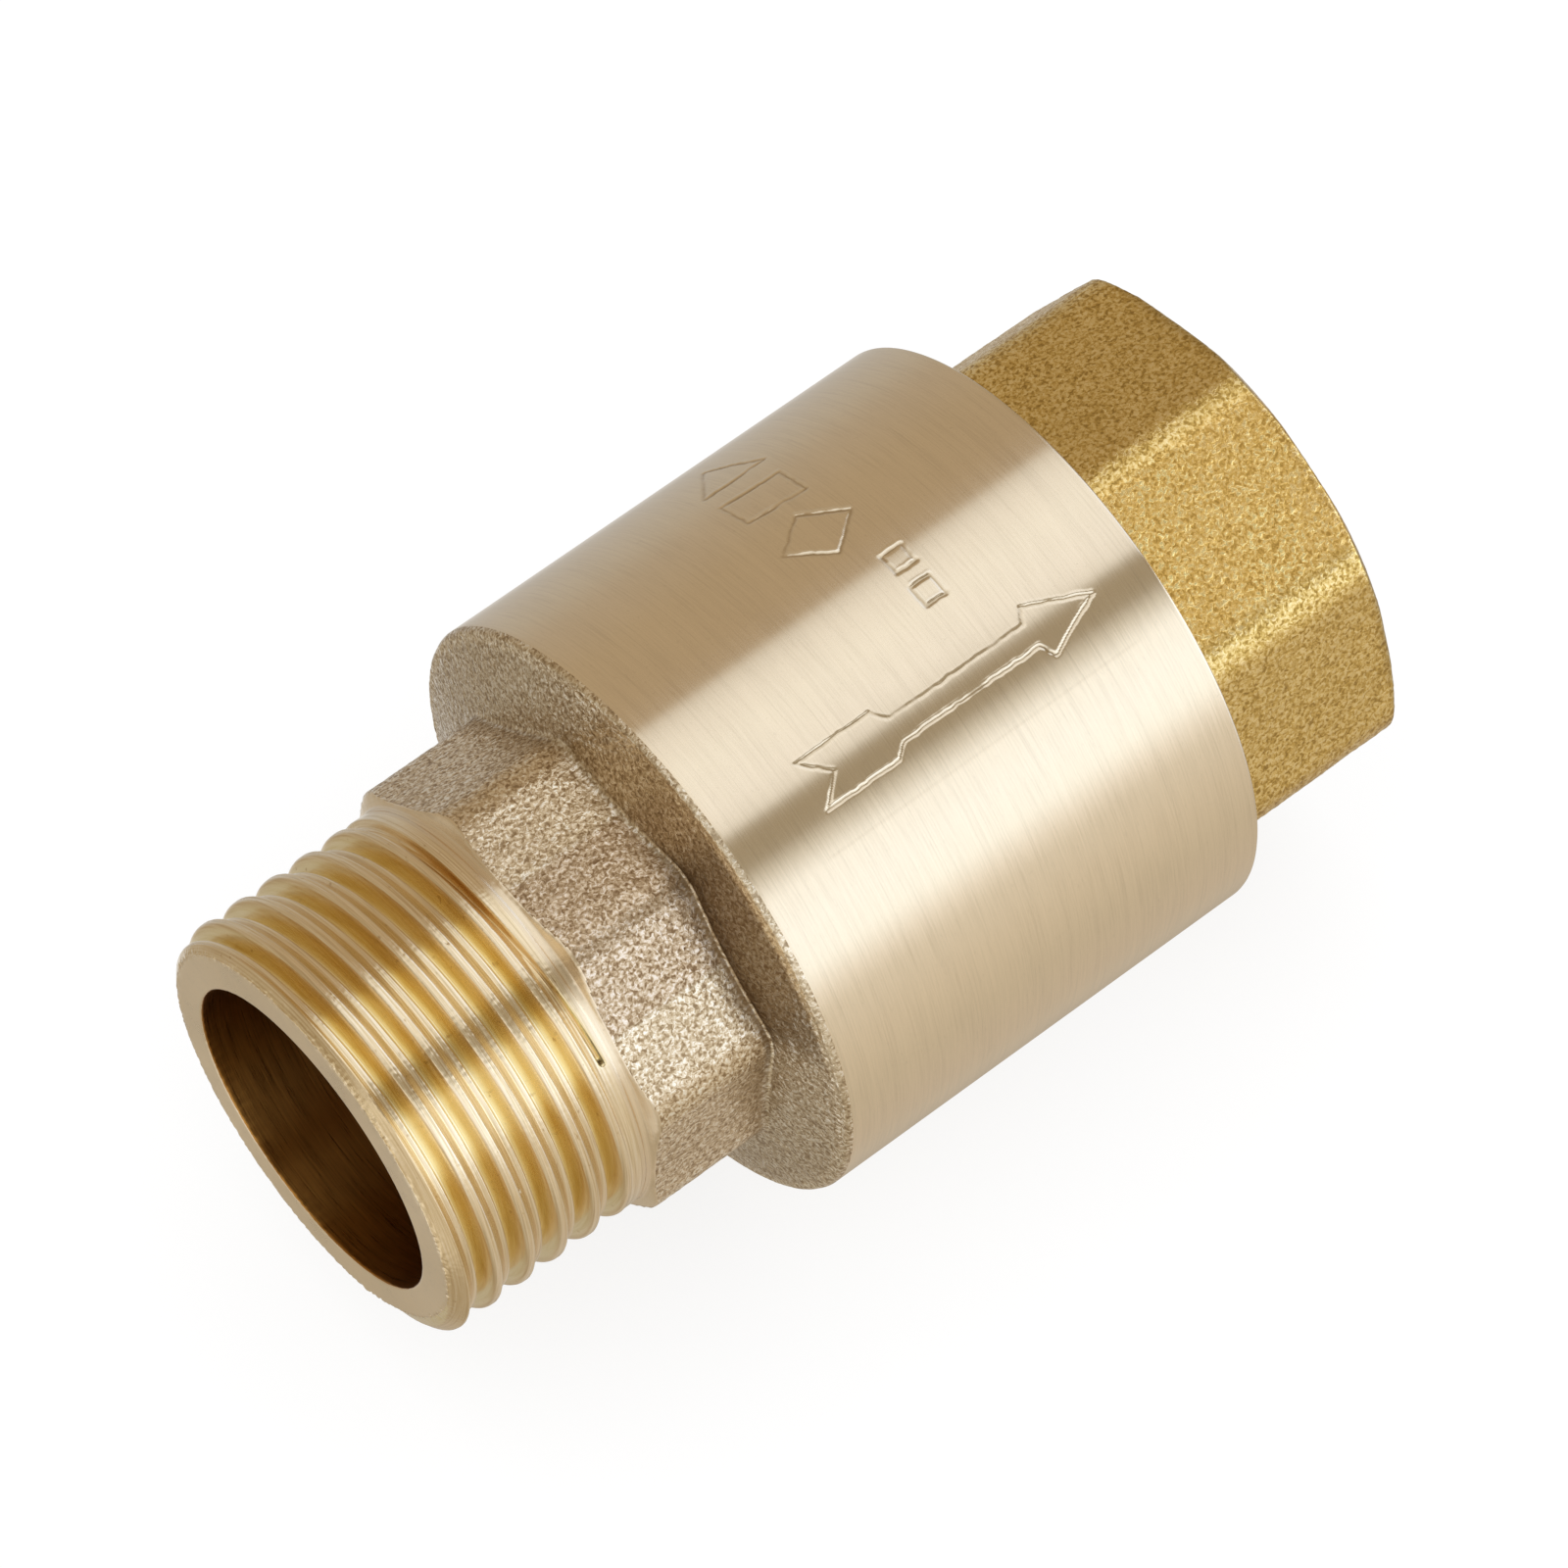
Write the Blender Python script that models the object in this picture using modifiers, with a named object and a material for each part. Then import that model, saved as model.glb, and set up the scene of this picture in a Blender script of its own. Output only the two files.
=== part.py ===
"""In-line spring check valve, G 1/2 male inlet x G 1/2 female outlet.

Brass body turned from a forging: a threaded male inlet, an octagonal neck for
a spanner and a round chamber.  A separate brass outlet end with its own
octagon screws into the chamber.  Inside, a spring pushes a rubber faced
poppet against the seat; flow in the +X direction lifts it off.

Frame: X is the flow axis (+X from inlet to outlet), Z is up, the origin is on
the axis half way along the valve.  Lengths are in millimetres and are turned
into metres where the meshes are made.  Every profile is a list of (x, r)
points: station along the axis, radius from it.
"""
import math

import bmesh
import bpy
from mathutils import Matrix

MM = 0.001
SEGMENTS = 48                 # facets round the large turned surfaces
FINE_SEGMENTS = 24            # facets round the stem and its small fittings
OVERCUT = 1.0                 # how far a cutter runs past the face it opens

# ------------------------------------------------------- driving dimensions
# Overall
X_OUTLET = 26.135             # face of the female end
X_INLET = -X_OUTLET           # face of the male end

# G 1/2 pipe thread, modelled as separate rings without a helix
G_MAJOR_R = 10.4775
G_MINOR_R = 9.316
G_PITCH = 1.814
CREST_LAND = 0.35             # width of the flat on a crest
ROOT_FILL = 0.1               # roots are this much shallower than the full form

# Body
X_NECK = -15.565              # inlet end of the octagonal neck
X_SHELL = -7.865              # rim of the chamber at the inlet side
X_MOUTH = 15.925              # open end of the chamber, where the cap seats
X_FIRST_RIDGE = X_INLET + 1.15
INLET_RIDGES = 5
RUNOUT_R = 9.45               # plain groove between thread and neck
NECK_ROUND_R = 10.42          # turned core of the neck
NECK_LIMIT_R = 11.22          # the octagon's corners are turned down to this
NECK_AF = 21.1                # octagon across flats
NECK_TURN = 25.3              # angle of one corner from +Z towards -Y, degrees
NECK_ROUNDING = 1.0
SHELL_R = 14.97
SHELL_CHAMFER = 0.35

# Body bore
INLET_BORE_R = 7.864
THROAT_R = 7.0
SEAT_R = 8.0                  # outside of the raised seat lip
X_SEAT = -5.0
X_FLOOR = -6.2                # chamber floor around the seat lip
CHAMBER_R = 12.0
CAP_THREAD_R = 12.5           # M25 x 1 between body and cap
BODY_THREAD_R = CAP_THREAD_R + 0.1

# Outlet cap
X_NOSE = 6.6                  # inner end of the cap
X_SEATED = X_MOUTH + 0.06     # joint line between chamber and cap
NOSE_R = 11.9
X_RING_GROOVE = (9.3, 11.3)
RING_GROOVE_R = 11.0
CAP_CORE_R = 11.2             # turned core inside the octagon
CAP_AF = 24.4
CAP_TURN = 6.65               # measured as NECK_TURN
CAP_ROUNDING = 1.1
CAP_LIMIT_R = 14.4
CAP_OFF = 0.30                # the forged octagon sits off the turned axis
CAP_OFF_TURN = math.radians(115.35)   # by this much, from +Z towards -Y

# Cap bore
PASSAGE_R = 8.6
POCKET_R = 9.6                # pocket that holds the guide
X_POCKET = 11.4               # outlet end of that pocket
X_SOCKET = 14.6
SOCKET_ROOT_R = G_MAJOR_R - ROOT_FILL
SOCKET_RIDGES = 6
X_CLIP_GROOVE = (7.6, 8.5)
CLIP_GROOVE_R = 10.2

# Rubber ring in the cap's groove
RING_R = 11.5                 # centre line of the cord
CORD_R = 0.45
CORD_SEGMENTS = 10

# Poppet and stem
X_DISC = (-4.9, -1.1)         # inlet and outlet faces of the disc
X_RECESS_FLOOR = -2.95        # floor of the recess that holds the seal
RECESS_INNER_R = 3.0
RECESS_OUTER_R = 9.15
DISC_R = 9.6
SEAL_R = 9.0
SEAL_INNER_R = 3.08
X_SEAL = (-4.95, -3.02)
STEM_R = 1.5
STEM_COLLAR_R = 2.42
DISC_HOLE_R = 1.58
FITTING_HOLE_R = 1.62         # hole in the retainer, lock washer and nut
BOSS_R = 3.2
BOSS_BORE_R = 2.5
X_BOSS_BORE = 1.0             # floor of the bore in the boss
X_BOSS = 4.1                  # outlet end of the boss

# Lock washer and nut
WASHER_SLIT = 0.45
WASHER_SLIT_TURN = 35.0
X_NUT = (-9.05, -6.65)
NUT_AF = 5.5

# Guide
X_GUIDE = 8.7                 # upstream face of the guide hub, the lift stop
X_GUIDE_RIM = X_POCKET - 0.05
X_HUB_END = 12.4
GUIDE_RIM_R = POCKET_R - 0.1
GUIDE_INNER_R = 8.4
HUB_R = 5.0
HUB_BORE_R = 2.32
ARM_COUNT = 3
ARM_SIZE = (2.2, 1.8, 4.6)    # along X, across, radial
BUSH_BORE_R = 1.56
BUSH_R = 2.26
BUSH_FLANGE_R = 3.0

# Retaining ring
X_CLIP = (7.68, 8.42)
CLIP_INNER_R = 8.75
CLIP_OUTER_R = 10.1
CLIP_GAP = 4.2
LUG_TURN = math.radians(17.5)   # each lug from -Z

# Return spring
SPRING_R = 4.3                # centre line of the wire
WIRE_R = 0.35
X_SPRING = (-0.70, 7.60)
SPRING_TURNS = 6.0            # the first and last of these are closed
CLOSED_PITCH = 2 * WIRE_R + 0.06
POINTS_PER_TURN = 18

# ------------------------------------------------------------------- helpers
for old in list(bpy.data.objects):
    bpy.data.objects.remove(old, do_unlink=True)

parts = bpy.data.collections.new("check_valve")
cutters = bpy.data.collections.new("check_valve_cutters")
bpy.context.scene.collection.children.link(parts)
bpy.context.scene.collection.children.link(cutters)

ALONG_X = Matrix.Rotation(math.pi / 2, 4, "Y")     # local Z becomes world X
CAP_SHIFT = Matrix.Translation((0,
                                -CAP_OFF * math.sin(CAP_OFF_TURN) * MM,
                                CAP_OFF * math.cos(CAP_OFF_TURN) * MM))


def material(name, colour, roughness, metallic):
    mat = bpy.data.materials.new(name)
    mat.use_nodes = True
    shader = mat.node_tree.nodes["Principled BSDF"]
    shader.inputs["Base Color"].default_value = (*colour, 1.0)
    shader.inputs["Roughness"].default_value = roughness
    shader.inputs["Metallic"].default_value = metallic
    mat.diffuse_color = (*colour, 1.0)
    return mat


def place(name, mesh, mat):
    """Object for a mesh: a part if it has a material, else a boolean helper."""
    obj = bpy.data.objects.new(name, mesh)
    if mat:
        parts.objects.link(obj)
        mesh.materials.append(mat)
    else:
        cutters.objects.link(obj)
        obj.display_type = "WIRE"
        obj.hide_render = True
    return obj


def place_bmesh(name, bm, mat=None):
    mesh = bpy.data.meshes.new(name)
    bm.to_mesh(mesh)
    bm.free()
    return place(name, mesh, mat)


def turned(name, profile, mat=None, segments=SEGMENTS):
    """Solid of revolution about X from (x, r) points.

    A profile that starts and ends at r = 0 is a solid bar, any other is
    closed on itself and makes a ring.
    """
    points = [(r * MM, x * MM) for x, r in profile]
    area = 0.0
    for (r0, z0), (r1, z1) in zip(points, points[1:] + points[:1]):
        area += r0 * z1 - r1 * z0
    if area > 0:                       # the outer side has to run downwards
        points.reverse()
    edges = [(i, i + 1) for i in range(len(points) - 1)]
    is_bar = profile[0][1] == 0 and profile[-1][1] == 0
    if not is_bar:
        edges.append((len(points) - 1, 0))
    mesh = bpy.data.meshes.new(name)
    mesh.from_pydata([(r, 0.0, z) for r, z in points], edges, [])
    obj = place(name, mesh, mat)
    obj.matrix_world = ALONG_X
    screw = obj.modifiers.new("turn", "SCREW")
    screw.axis = "Z"
    screw.angle = 2 * math.pi
    screw.screw_offset = 0.0
    screw.steps = segments
    screw.render_steps = segments
    screw.use_merge_vertices = True
    screw.merge_threshold = 1e-6
    screw.use_smooth_shade = False
    return obj


def add_prism(bm, sides, radius, length):
    """Upright regular prism, centred on the origin."""
    bmesh.ops.create_cone(bm, cap_ends=True, segments=sides, radius1=radius * MM,
                          radius2=radius * MM, depth=length * MM)


def corner_radius(across_flats, sides):
    return across_flats / 2 / math.cos(math.pi / sides)


def octagon(name, across_flats, turn, x0, x1, rounding):
    """Octagonal bar along X with rounded long edges, one corner at turn degrees."""
    bm = bmesh.new()
    add_prism(bm, 8, corner_radius(across_flats, 8), x1 - x0)
    # the prism starts with a corner on each local axis
    bmesh.ops.rotate(bm, verts=bm.verts, cent=(0, 0, 0),
                     matrix=Matrix.Rotation(math.radians(turn), 3, "Z"))
    bmesh.ops.translate(bm, verts=bm.verts, vec=(0, 0, (x0 + x1) / 2 * MM))
    long_edges = [e for e in bm.edges
                  if abs((e.verts[0].co - e.verts[1].co).z) > 0.5 * (x1 - x0) * MM]
    bmesh.ops.bevel(bm, geom=long_edges, offset=rounding * MM, segments=3,
                    profile=0.5, affect="EDGES")
    obj = place_bmesh(name, bm)
    obj.matrix_world = ALONG_X
    return obj


def block(name, size, x, z, turn=0.0):
    """Box of (along X, across, radial) size at (x, 0, z), then turned about X."""
    bm = bmesh.new()
    bmesh.ops.create_cube(bm, size=1.0)
    bmesh.ops.scale(bm, verts=bm.verts, vec=[s * MM for s in size])
    bmesh.ops.translate(bm, verts=bm.verts, vec=(x * MM, 0.0, z * MM))
    bmesh.ops.rotate(bm, verts=bm.verts, cent=(0, 0, 0),
                     matrix=Matrix.Rotation(math.radians(turn), 3, "X"))
    return place_bmesh(name, bm)


def bar(name, radius, x_ends, sides, y=0.0, z=0.0, mat=None):
    """Regular bar along X."""
    x0, x1 = x_ends
    bm = bmesh.new()
    add_prism(bm, sides, radius, x1 - x0)
    bmesh.ops.transform(bm, verts=bm.verts, matrix=ALONG_X)
    bmesh.ops.translate(bm, verts=bm.verts, vec=((x0 + x1) / 2 * MM, y * MM, z * MM))
    return place_bmesh(name, bm, mat)


def combine(obj, other, operation):
    boolean = obj.modifiers.new(operation.lower(), "BOOLEAN")
    boolean.operation = operation
    boolean.solver = "EXACT"
    boolean.object = other


def ridges(x_first, count, crest, root):
    """Profile of thread ridges one pitch apart; x_first is the first crest."""
    points = []
    for i in range(count):
        x = x_first + i * G_PITCH
        points += [(x - CREST_LAND / 2, crest), (x + CREST_LAND / 2, crest)]
        if i < count - 1:
            points.append((x + G_PITCH / 2, root))
    return points


# ----------------------------------------------------------------- materials
CAST_BRASS = material("cast_brass", colour=(0.62, 0.52, 0.36), roughness=0.38, metallic=1.0)
YELLOW_BRASS = material("yellow_brass", colour=(0.66, 0.48, 0.17), roughness=0.36,
                        metallic=1.0)
TURNED_BRASS = material("turned_brass", colour=(0.72, 0.58, 0.32), roughness=0.25,
                        metallic=1.0)
STEEL = material("stainless_steel", colour=(0.62, 0.61, 0.59), roughness=0.28, metallic=1.0)
RUBBER = material("black_rubber", colour=(0.02, 0.02, 0.022), roughness=0.6, metallic=0.0)
ACETAL = material("white_acetal", colour=(0.80, 0.79, 0.74), roughness=0.45, metallic=0.0)
PTFE = material("ptfe", colour=(0.86, 0.86, 0.84), roughness=0.5, metallic=0.0)


# -------------------------------------------------------------------- pieces
def build_inlet_body():
    x_last_ridge = X_FIRST_RIDGE + (INLET_RIDGES - 1) * G_PITCH
    body = turned("inlet_body", [
        (X_INLET, 0), (X_INLET, 9.35), (X_INLET + 0.5, 9.85),
        *ridges(X_FIRST_RIDGE, INLET_RIDGES, G_MAJOR_R, G_MINOR_R + ROOT_FILL),
        (x_last_ridge + 0.9, RUNOUT_R), (X_NECK - 1.15, RUNOUT_R),
        (X_NECK - 0.75, NECK_ROUND_R), (X_NECK + 0.4, NECK_ROUND_R),
        (X_SHELL - 1.15, NECK_ROUND_R),
        (X_SHELL - 1.15, 11.1), (X_SHELL - 0.05, 14.45),      # conical shoulder
        (X_SHELL + 0.30, 14.87), (X_SHELL + 0.75, SHELL_R),
        (X_MOUTH - SHELL_CHAMFER, SHELL_R), (X_MOUTH, SHELL_R - SHELL_CHAMFER),
        (X_MOUTH, 0)], CAST_BRASS)

    neck = octagon("neck_octagon", NECK_AF, NECK_TURN, X_NECK, X_SHELL + 1.5,
                   NECK_ROUNDING)
    neck_limit = turned("neck_limit", [
        (X_NECK - 0.5, 0), (X_NECK - 0.5, 9.8), (X_NECK + 0.55, 10.95),
        (X_NECK + 1.0, NECK_LIMIT_R), (X_SHELL + 1.0, NECK_LIMIT_R),
        (X_SHELL + 1.0, 0)])
    combine(neck, neck_limit, "INTERSECT")
    combine(body, neck, "UNION")

    bore = turned("body_bore", [
        (X_INLET - OVERCUT, 0), (X_INLET - OVERCUT, INLET_BORE_R + 1.3),
        (X_INLET + 0.3, INLET_BORE_R), (-8.4, INLET_BORE_R), (-7.5, THROAT_R),
        (X_SEAT, THROAT_R), (X_SEAT, SEAT_R), (X_FLOOR, SEAT_R + 0.25),
        (X_FLOOR, CHAMBER_R), (11.6, CHAMBER_R), (11.7, BODY_THREAD_R),
        (X_MOUTH - 0.5, BODY_THREAD_R), (X_MOUTH + OVERCUT, CAP_THREAD_R + 1.6),
        (X_MOUTH + OVERCUT, 0)])
    combine(body, bore, "DIFFERENCE")


def build_cap_octagon():
    cap_octagon = octagon("cap_octagon", CAP_AF, CAP_TURN, X_SEATED, X_OUTLET,
                          CAP_ROUNDING)
    cap_octagon.matrix_world = CAP_SHIFT @ ALONG_X
    # corners turned down at the joint, round the valve axis
    joint_limit = turned("cap_limit", [
        (X_SEATED - 1.0, 0), (X_SEATED - 1.0, 12.2), (X_SEATED + 0.35, 12.9),
        (X_SEATED + 0.6, CAP_LIMIT_R), (X_OUTLET + 1.0, CAP_LIMIT_R),
        (X_OUTLET + 1.0, 0)])
    combine(cap_octagon, joint_limit, "INTERSECT")
    # corners rolled off at the outlet end, round the octagon's own centre
    end_limit = turned("cap_end_limit", [
        (X_SEATED - 2.0, 0), (X_SEATED - 2.0, CAP_LIMIT_R),
        (X_OUTLET - 1.3, CAP_LIMIT_R), (X_OUTLET, 12.0), (X_OUTLET + 1.0, 10.2),
        (X_OUTLET + 1.0, 0)])
    end_limit.matrix_world = CAP_SHIFT @ ALONG_X
    combine(cap_octagon, end_limit, "INTERSECT")
    return cap_octagon


def build_outlet_cap():
    groove_start, groove_end = X_RING_GROOVE
    cap = turned("outlet_cap", [
        (X_NOSE, 0), (X_NOSE, NOSE_R - 0.4), (X_NOSE + 0.4, NOSE_R),
        (groove_start, NOSE_R), (groove_start, RING_GROOVE_R),
        (groove_end, RING_GROOVE_R), (groove_end, NOSE_R), (11.9, NOSE_R),
        (12.2, CAP_THREAD_R), (X_SEATED + 0.4, CAP_THREAD_R),
        (X_SEATED + 0.4, CAP_CORE_R), (X_OUTLET - 1.0, CAP_CORE_R),
        (X_OUTLET - 1.0, 0)], YELLOW_BRASS)
    combine(cap, build_cap_octagon(), "UNION")

    clip_start, clip_end = X_CLIP_GROOVE
    bore = turned("cap_bore", [
        (X_NOSE - OVERCUT, 0), (X_NOSE - OVERCUT, POCKET_R + 1.3),
        (X_NOSE + 0.3, POCKET_R), (clip_start, POCKET_R),
        (clip_start, CLIP_GROOVE_R), (clip_end, CLIP_GROOVE_R),
        (clip_end, POCKET_R), (X_POCKET, POCKET_R), (X_POCKET, PASSAGE_R),
        (X_SOCKET, PASSAGE_R), (X_SOCKET, SOCKET_ROOT_R),
        (X_SOCKET + 0.6, SOCKET_ROOT_R),
        *ridges(X_SOCKET + 1.3, SOCKET_RIDGES, G_MINOR_R, SOCKET_ROOT_R),
        (X_OUTLET - 0.75, G_MINOR_R + 0.45), (X_OUTLET, G_MAJOR_R + 0.15),
        (X_OUTLET + OVERCUT, G_MAJOR_R + 1.2), (X_OUTLET + OVERCUT, 0)])
    combine(cap, bore, "DIFFERENCE")


def build_cap_o_ring():
    """Rubber ring centred in the cap's groove."""
    x_ring = sum(X_RING_GROOVE) / 2
    angles = [2 * math.pi * i / CORD_SEGMENTS for i in range(CORD_SEGMENTS)]
    turned("cap_o_ring", [(x_ring + CORD_R * math.cos(angle),
                           RING_R + CORD_R * math.sin(angle))
                          for angle in angles], RUBBER)


def build_poppet_disc():
    x_face, x_back = X_DISC
    turned("poppet_disc", [
        (x_face, DISC_HOLE_R), (x_face, RECESS_INNER_R),
        (X_RECESS_FLOOR, RECESS_INNER_R), (X_RECESS_FLOOR, RECESS_OUTER_R),
        (-3.9, RECESS_OUTER_R), (-3.9, 9.45), (-3.6, DISC_R), (-1.5, DISC_R),
        (x_back, 9.2), (x_back, BOSS_R), (X_BOSS - 0.3, BOSS_R),
        (X_BOSS, BOSS_R - 0.3), (X_BOSS, BOSS_BORE_R),
        (X_BOSS_BORE, BOSS_BORE_R), (X_BOSS_BORE, DISC_HOLE_R)], TURNED_BRASS)


def build_seal():
    """Rubber ring in the disc's recess and the steel plate that holds it."""
    x_face, x_back = X_SEAL
    turned("seal_ring", [
        (x_face, SEAL_INNER_R), (x_face, 8.85), (x_face + 0.15, SEAL_R),
        (x_back, SEAL_R), (x_back, SEAL_INNER_R)], RUBBER)
    turned("seal_retainer", [
        (-6.0, FITTING_HOLE_R), (-6.0, 6.0), (-5.7, 6.4), (-5.02, 6.4),
        (-5.02, FITTING_HOLE_R)], STEEL)


def build_poppet_stem():
    """Stem with a collar inside the poppet's boss."""
    x_collar = X_BOSS_BORE + 0.06
    turned("poppet_stem", [
        (-9.8, 0), (-9.8, 1.2), (-9.5, STEM_R), (x_collar, STEM_R),
        (x_collar, STEM_COLLAR_R), (X_BOSS - 0.1, STEM_COLLAR_R),
        (X_BOSS - 0.1, STEM_R), (13.7, STEM_R), (14.1, 1.1), (14.1, 0)],
        STEEL, FINE_SEGMENTS)


def build_lock_washer():
    washer = turned("lock_washer", [
        (-6.6, FITTING_HOLE_R), (-6.6, 2.75), (-6.08, 2.75),
        (-6.08, FITTING_HOLE_R)], STEEL, FINE_SEGMENTS)
    slit = block("washer_slit", (2.0, WASHER_SLIT, 3.0), x=-6.3, z=2.2,
                 turn=WASHER_SLIT_TURN)
    combine(washer, slit, "DIFFERENCE")


def build_stem_nut():
    nut = bar("stem_nut", corner_radius(NUT_AF, 6), X_NUT, sides=6, mat=STEEL)
    limit = turned("nut_limit", [
        (-9.3, 0), (-9.3, 2.3), (-8.7, 3.3), (-6.9, 3.3), (-6.5, 2.9), (-6.5, 0)],
        segments=FINE_SEGMENTS)
    combine(nut, limit, "INTERSECT")
    bore = turned("nut_bore", [
        (-10.0, 0), (-10.0, FITTING_HOLE_R), (-6.0, FITTING_HOLE_R), (-6.0, 0)],
        segments=FINE_SEGMENTS)
    combine(nut, bore, "DIFFERENCE")


def build_outlet_guide():
    """Rim in the cap's pocket, joined by arms to a bored hub."""
    guide = turned("outlet_guide", [
        (X_GUIDE, GUIDE_INNER_R), (X_GUIDE, GUIDE_RIM_R - 0.2),
        (X_GUIDE + 0.2, GUIDE_RIM_R), (X_GUIDE_RIM, GUIDE_RIM_R),
        (X_GUIDE_RIM, GUIDE_INNER_R)], ACETAL)
    hub = turned("guide_hub", [
        (X_GUIDE, 0), (X_GUIDE, HUB_R), (10.6, HUB_R), (X_HUB_END, 3.6),
        (X_HUB_END, 0)])
    combine(guide, hub, "UNION")
    for i in range(ARM_COUNT):
        arm = block(f"guide_arm_{i}", ARM_SIZE, x=X_GUIDE + 1.3, z=6.7,
                    turn=360.0 / ARM_COUNT * i)
        combine(guide, arm, "UNION")
    bore = turned("guide_hub_bore", [
        (X_GUIDE - OVERCUT, 0), (X_GUIDE - OVERCUT, HUB_BORE_R),
        (13.5, HUB_BORE_R), (13.5, 0)], segments=FINE_SEGMENTS)
    combine(guide, bore, "DIFFERENCE")


def build_guide_bush():
    """Flanged sleeve between stem and hub, its flange at the outlet end."""
    x_start = X_GUIDE + 0.1
    x_flange = X_HUB_END + 0.06
    turned("guide_bush", [
        (x_start, BUSH_BORE_R), (x_start, BUSH_R), (x_flange, BUSH_R),
        (x_flange, BUSH_FLANGE_R), (13.0, BUSH_FLANGE_R), (13.0, BUSH_BORE_R)],
        PTFE, FINE_SEGMENTS)


def build_guide_circlip():
    """Internal retaining ring with two plier lugs, its gap at the bottom."""
    x_start, x_end = X_CLIP
    circlip = turned("guide_circlip", [
        (x_start, CLIP_INNER_R), (x_start, CLIP_OUTER_R), (x_end, CLIP_OUTER_R),
        (x_end, CLIP_INNER_R)], STEEL)
    gap = block("circlip_gap", (3.0, CLIP_GAP, 6.0), x=(x_start + x_end) / 2, z=-10.0)
    combine(circlip, gap, "DIFFERENCE")
    # name, radius, x ends, distance from the axis, facets, operation
    for name, radius, x_ends, distance, sides, operation in (
            ("lug", 1.1, X_CLIP, 8.55, 16, "UNION"),
            ("eye", 0.45, (7.0, 9.0), 8.4, 12, "DIFFERENCE")):
        for side in (-1, 1):
            angle = LUG_TURN * side
            tool = bar(f"circlip_{name}_{side + 1}", radius, x_ends, sides,
                       y=math.sin(angle) * distance, z=-math.cos(angle) * distance)
            combine(circlip, tool, operation)


def build_spring_seat_washer():
    turned("spring_seat_washer", [
        (8.08, 3.5), (8.08, 5.3), (8.6, 5.3), (8.6, 3.5)], STEEL, segments=32)


def coil_advance(turns):
    """Axial travel along the coil, with one closed turn at each end."""
    length = X_SPRING[1] - X_SPRING[0]
    if turns < 1.0:
        return CLOSED_PITCH * turns
    if turns > SPRING_TURNS - 1.0:
        return length - CLOSED_PITCH * (SPRING_TURNS - turns)
    free_pitch = (length - 2 * CLOSED_PITCH) / (SPRING_TURNS - 2.0)
    return CLOSED_PITCH + free_pitch * (turns - 1.0)


def build_return_spring():
    curve = bpy.data.curves.new("return_spring", "CURVE")
    curve.dimensions = "3D"
    curve.bevel_depth = WIRE_R * MM
    curve.bevel_resolution = 2
    curve.use_fill_caps = True
    curve.materials.append(STEEL)
    spline = curve.splines.new("POLY")
    spline.points.add(int(SPRING_TURNS * POINTS_PER_TURN))   # one exists already
    for i, point in enumerate(spline.points):
        turns = i / POINTS_PER_TURN
        angle = 2 * math.pi * turns
        point.co = ((X_SPRING[0] + coil_advance(turns)) * MM,
                    SPRING_R * MM * math.sin(angle),
                    SPRING_R * MM * math.cos(angle), 1.0)
    parts.objects.link(bpy.data.objects.new("return_spring", curve))


build_inlet_body()
build_outlet_cap()
build_cap_o_ring()
build_poppet_disc()
build_seal()
build_poppet_stem()
build_lock_washer()
build_stem_nut()
build_outlet_guide()
build_guide_bush()
build_guide_circlip()
build_spring_seat_washer()
build_return_spring()
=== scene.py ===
"""G 1/2 in-line check valve: fine surfaces, materials, studio and camera.

Lengths are millimetres and MM turns them into metres.  X is the flow axis, from the
inlet at -X to the outlet at +X, and Z is up.  theta is the angle about X from +Z
towards -Y, in degrees unless said otherwise.
"""

import math
from types import SimpleNamespace

import bpy
import bmesh
import numpy as np
from mathutils import Matrix, Vector


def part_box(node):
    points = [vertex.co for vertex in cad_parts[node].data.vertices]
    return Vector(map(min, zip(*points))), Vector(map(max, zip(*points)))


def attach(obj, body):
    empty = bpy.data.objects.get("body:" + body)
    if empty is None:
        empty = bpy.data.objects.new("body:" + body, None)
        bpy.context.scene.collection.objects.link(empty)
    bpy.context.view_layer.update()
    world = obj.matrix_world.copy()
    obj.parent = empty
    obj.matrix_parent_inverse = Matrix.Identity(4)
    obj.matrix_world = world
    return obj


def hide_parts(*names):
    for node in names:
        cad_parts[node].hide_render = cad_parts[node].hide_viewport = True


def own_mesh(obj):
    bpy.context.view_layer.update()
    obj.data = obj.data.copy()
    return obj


MM = 0.001
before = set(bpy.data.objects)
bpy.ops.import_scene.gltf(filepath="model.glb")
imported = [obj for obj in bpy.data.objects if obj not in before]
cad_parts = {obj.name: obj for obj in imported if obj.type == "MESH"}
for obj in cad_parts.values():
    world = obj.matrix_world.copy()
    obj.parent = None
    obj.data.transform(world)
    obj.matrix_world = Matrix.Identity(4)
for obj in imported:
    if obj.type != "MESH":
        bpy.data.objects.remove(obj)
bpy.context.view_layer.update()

# stations and radii taken from the CAD pieces
inlet_lo, inlet_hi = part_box("inlet_body")
cap_lo, cap_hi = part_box("outlet_cap")
X_IN = inlet_lo[0] / MM             # male end face
X_MOUTH = inlet_hi[0] / MM          # open end of the chamber
SHELL_R = inlet_hi[1] / MM          # chamber radius
X_NOSE = cap_lo[0] / MM             # inner end of the cap
X_OUT = cap_hi[0] / MM              # female end face
X_COLLAR = X_IN + 9.68              # start of the plain collar after the thread
X_NECK = X_IN + 10.57               # start of the octagonal neck
X_SHELL = X_IN + 18.27              # rim of the chamber at the inlet side
X_CAP = X_MOUTH + 0.06              # seated face of the cap
TURNED_R = SHELL_R - 0.024          # leaves room for raised edges inside the CAD box

G_MAJOR, G_MINOR, PITCH = 10.4775, 9.316, 1.814     # G 1/2 thread
COLLAR_R = 10.43
INLET_BORE_R = 7.864
CHAMBER_BORE_R = 12.0


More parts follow.
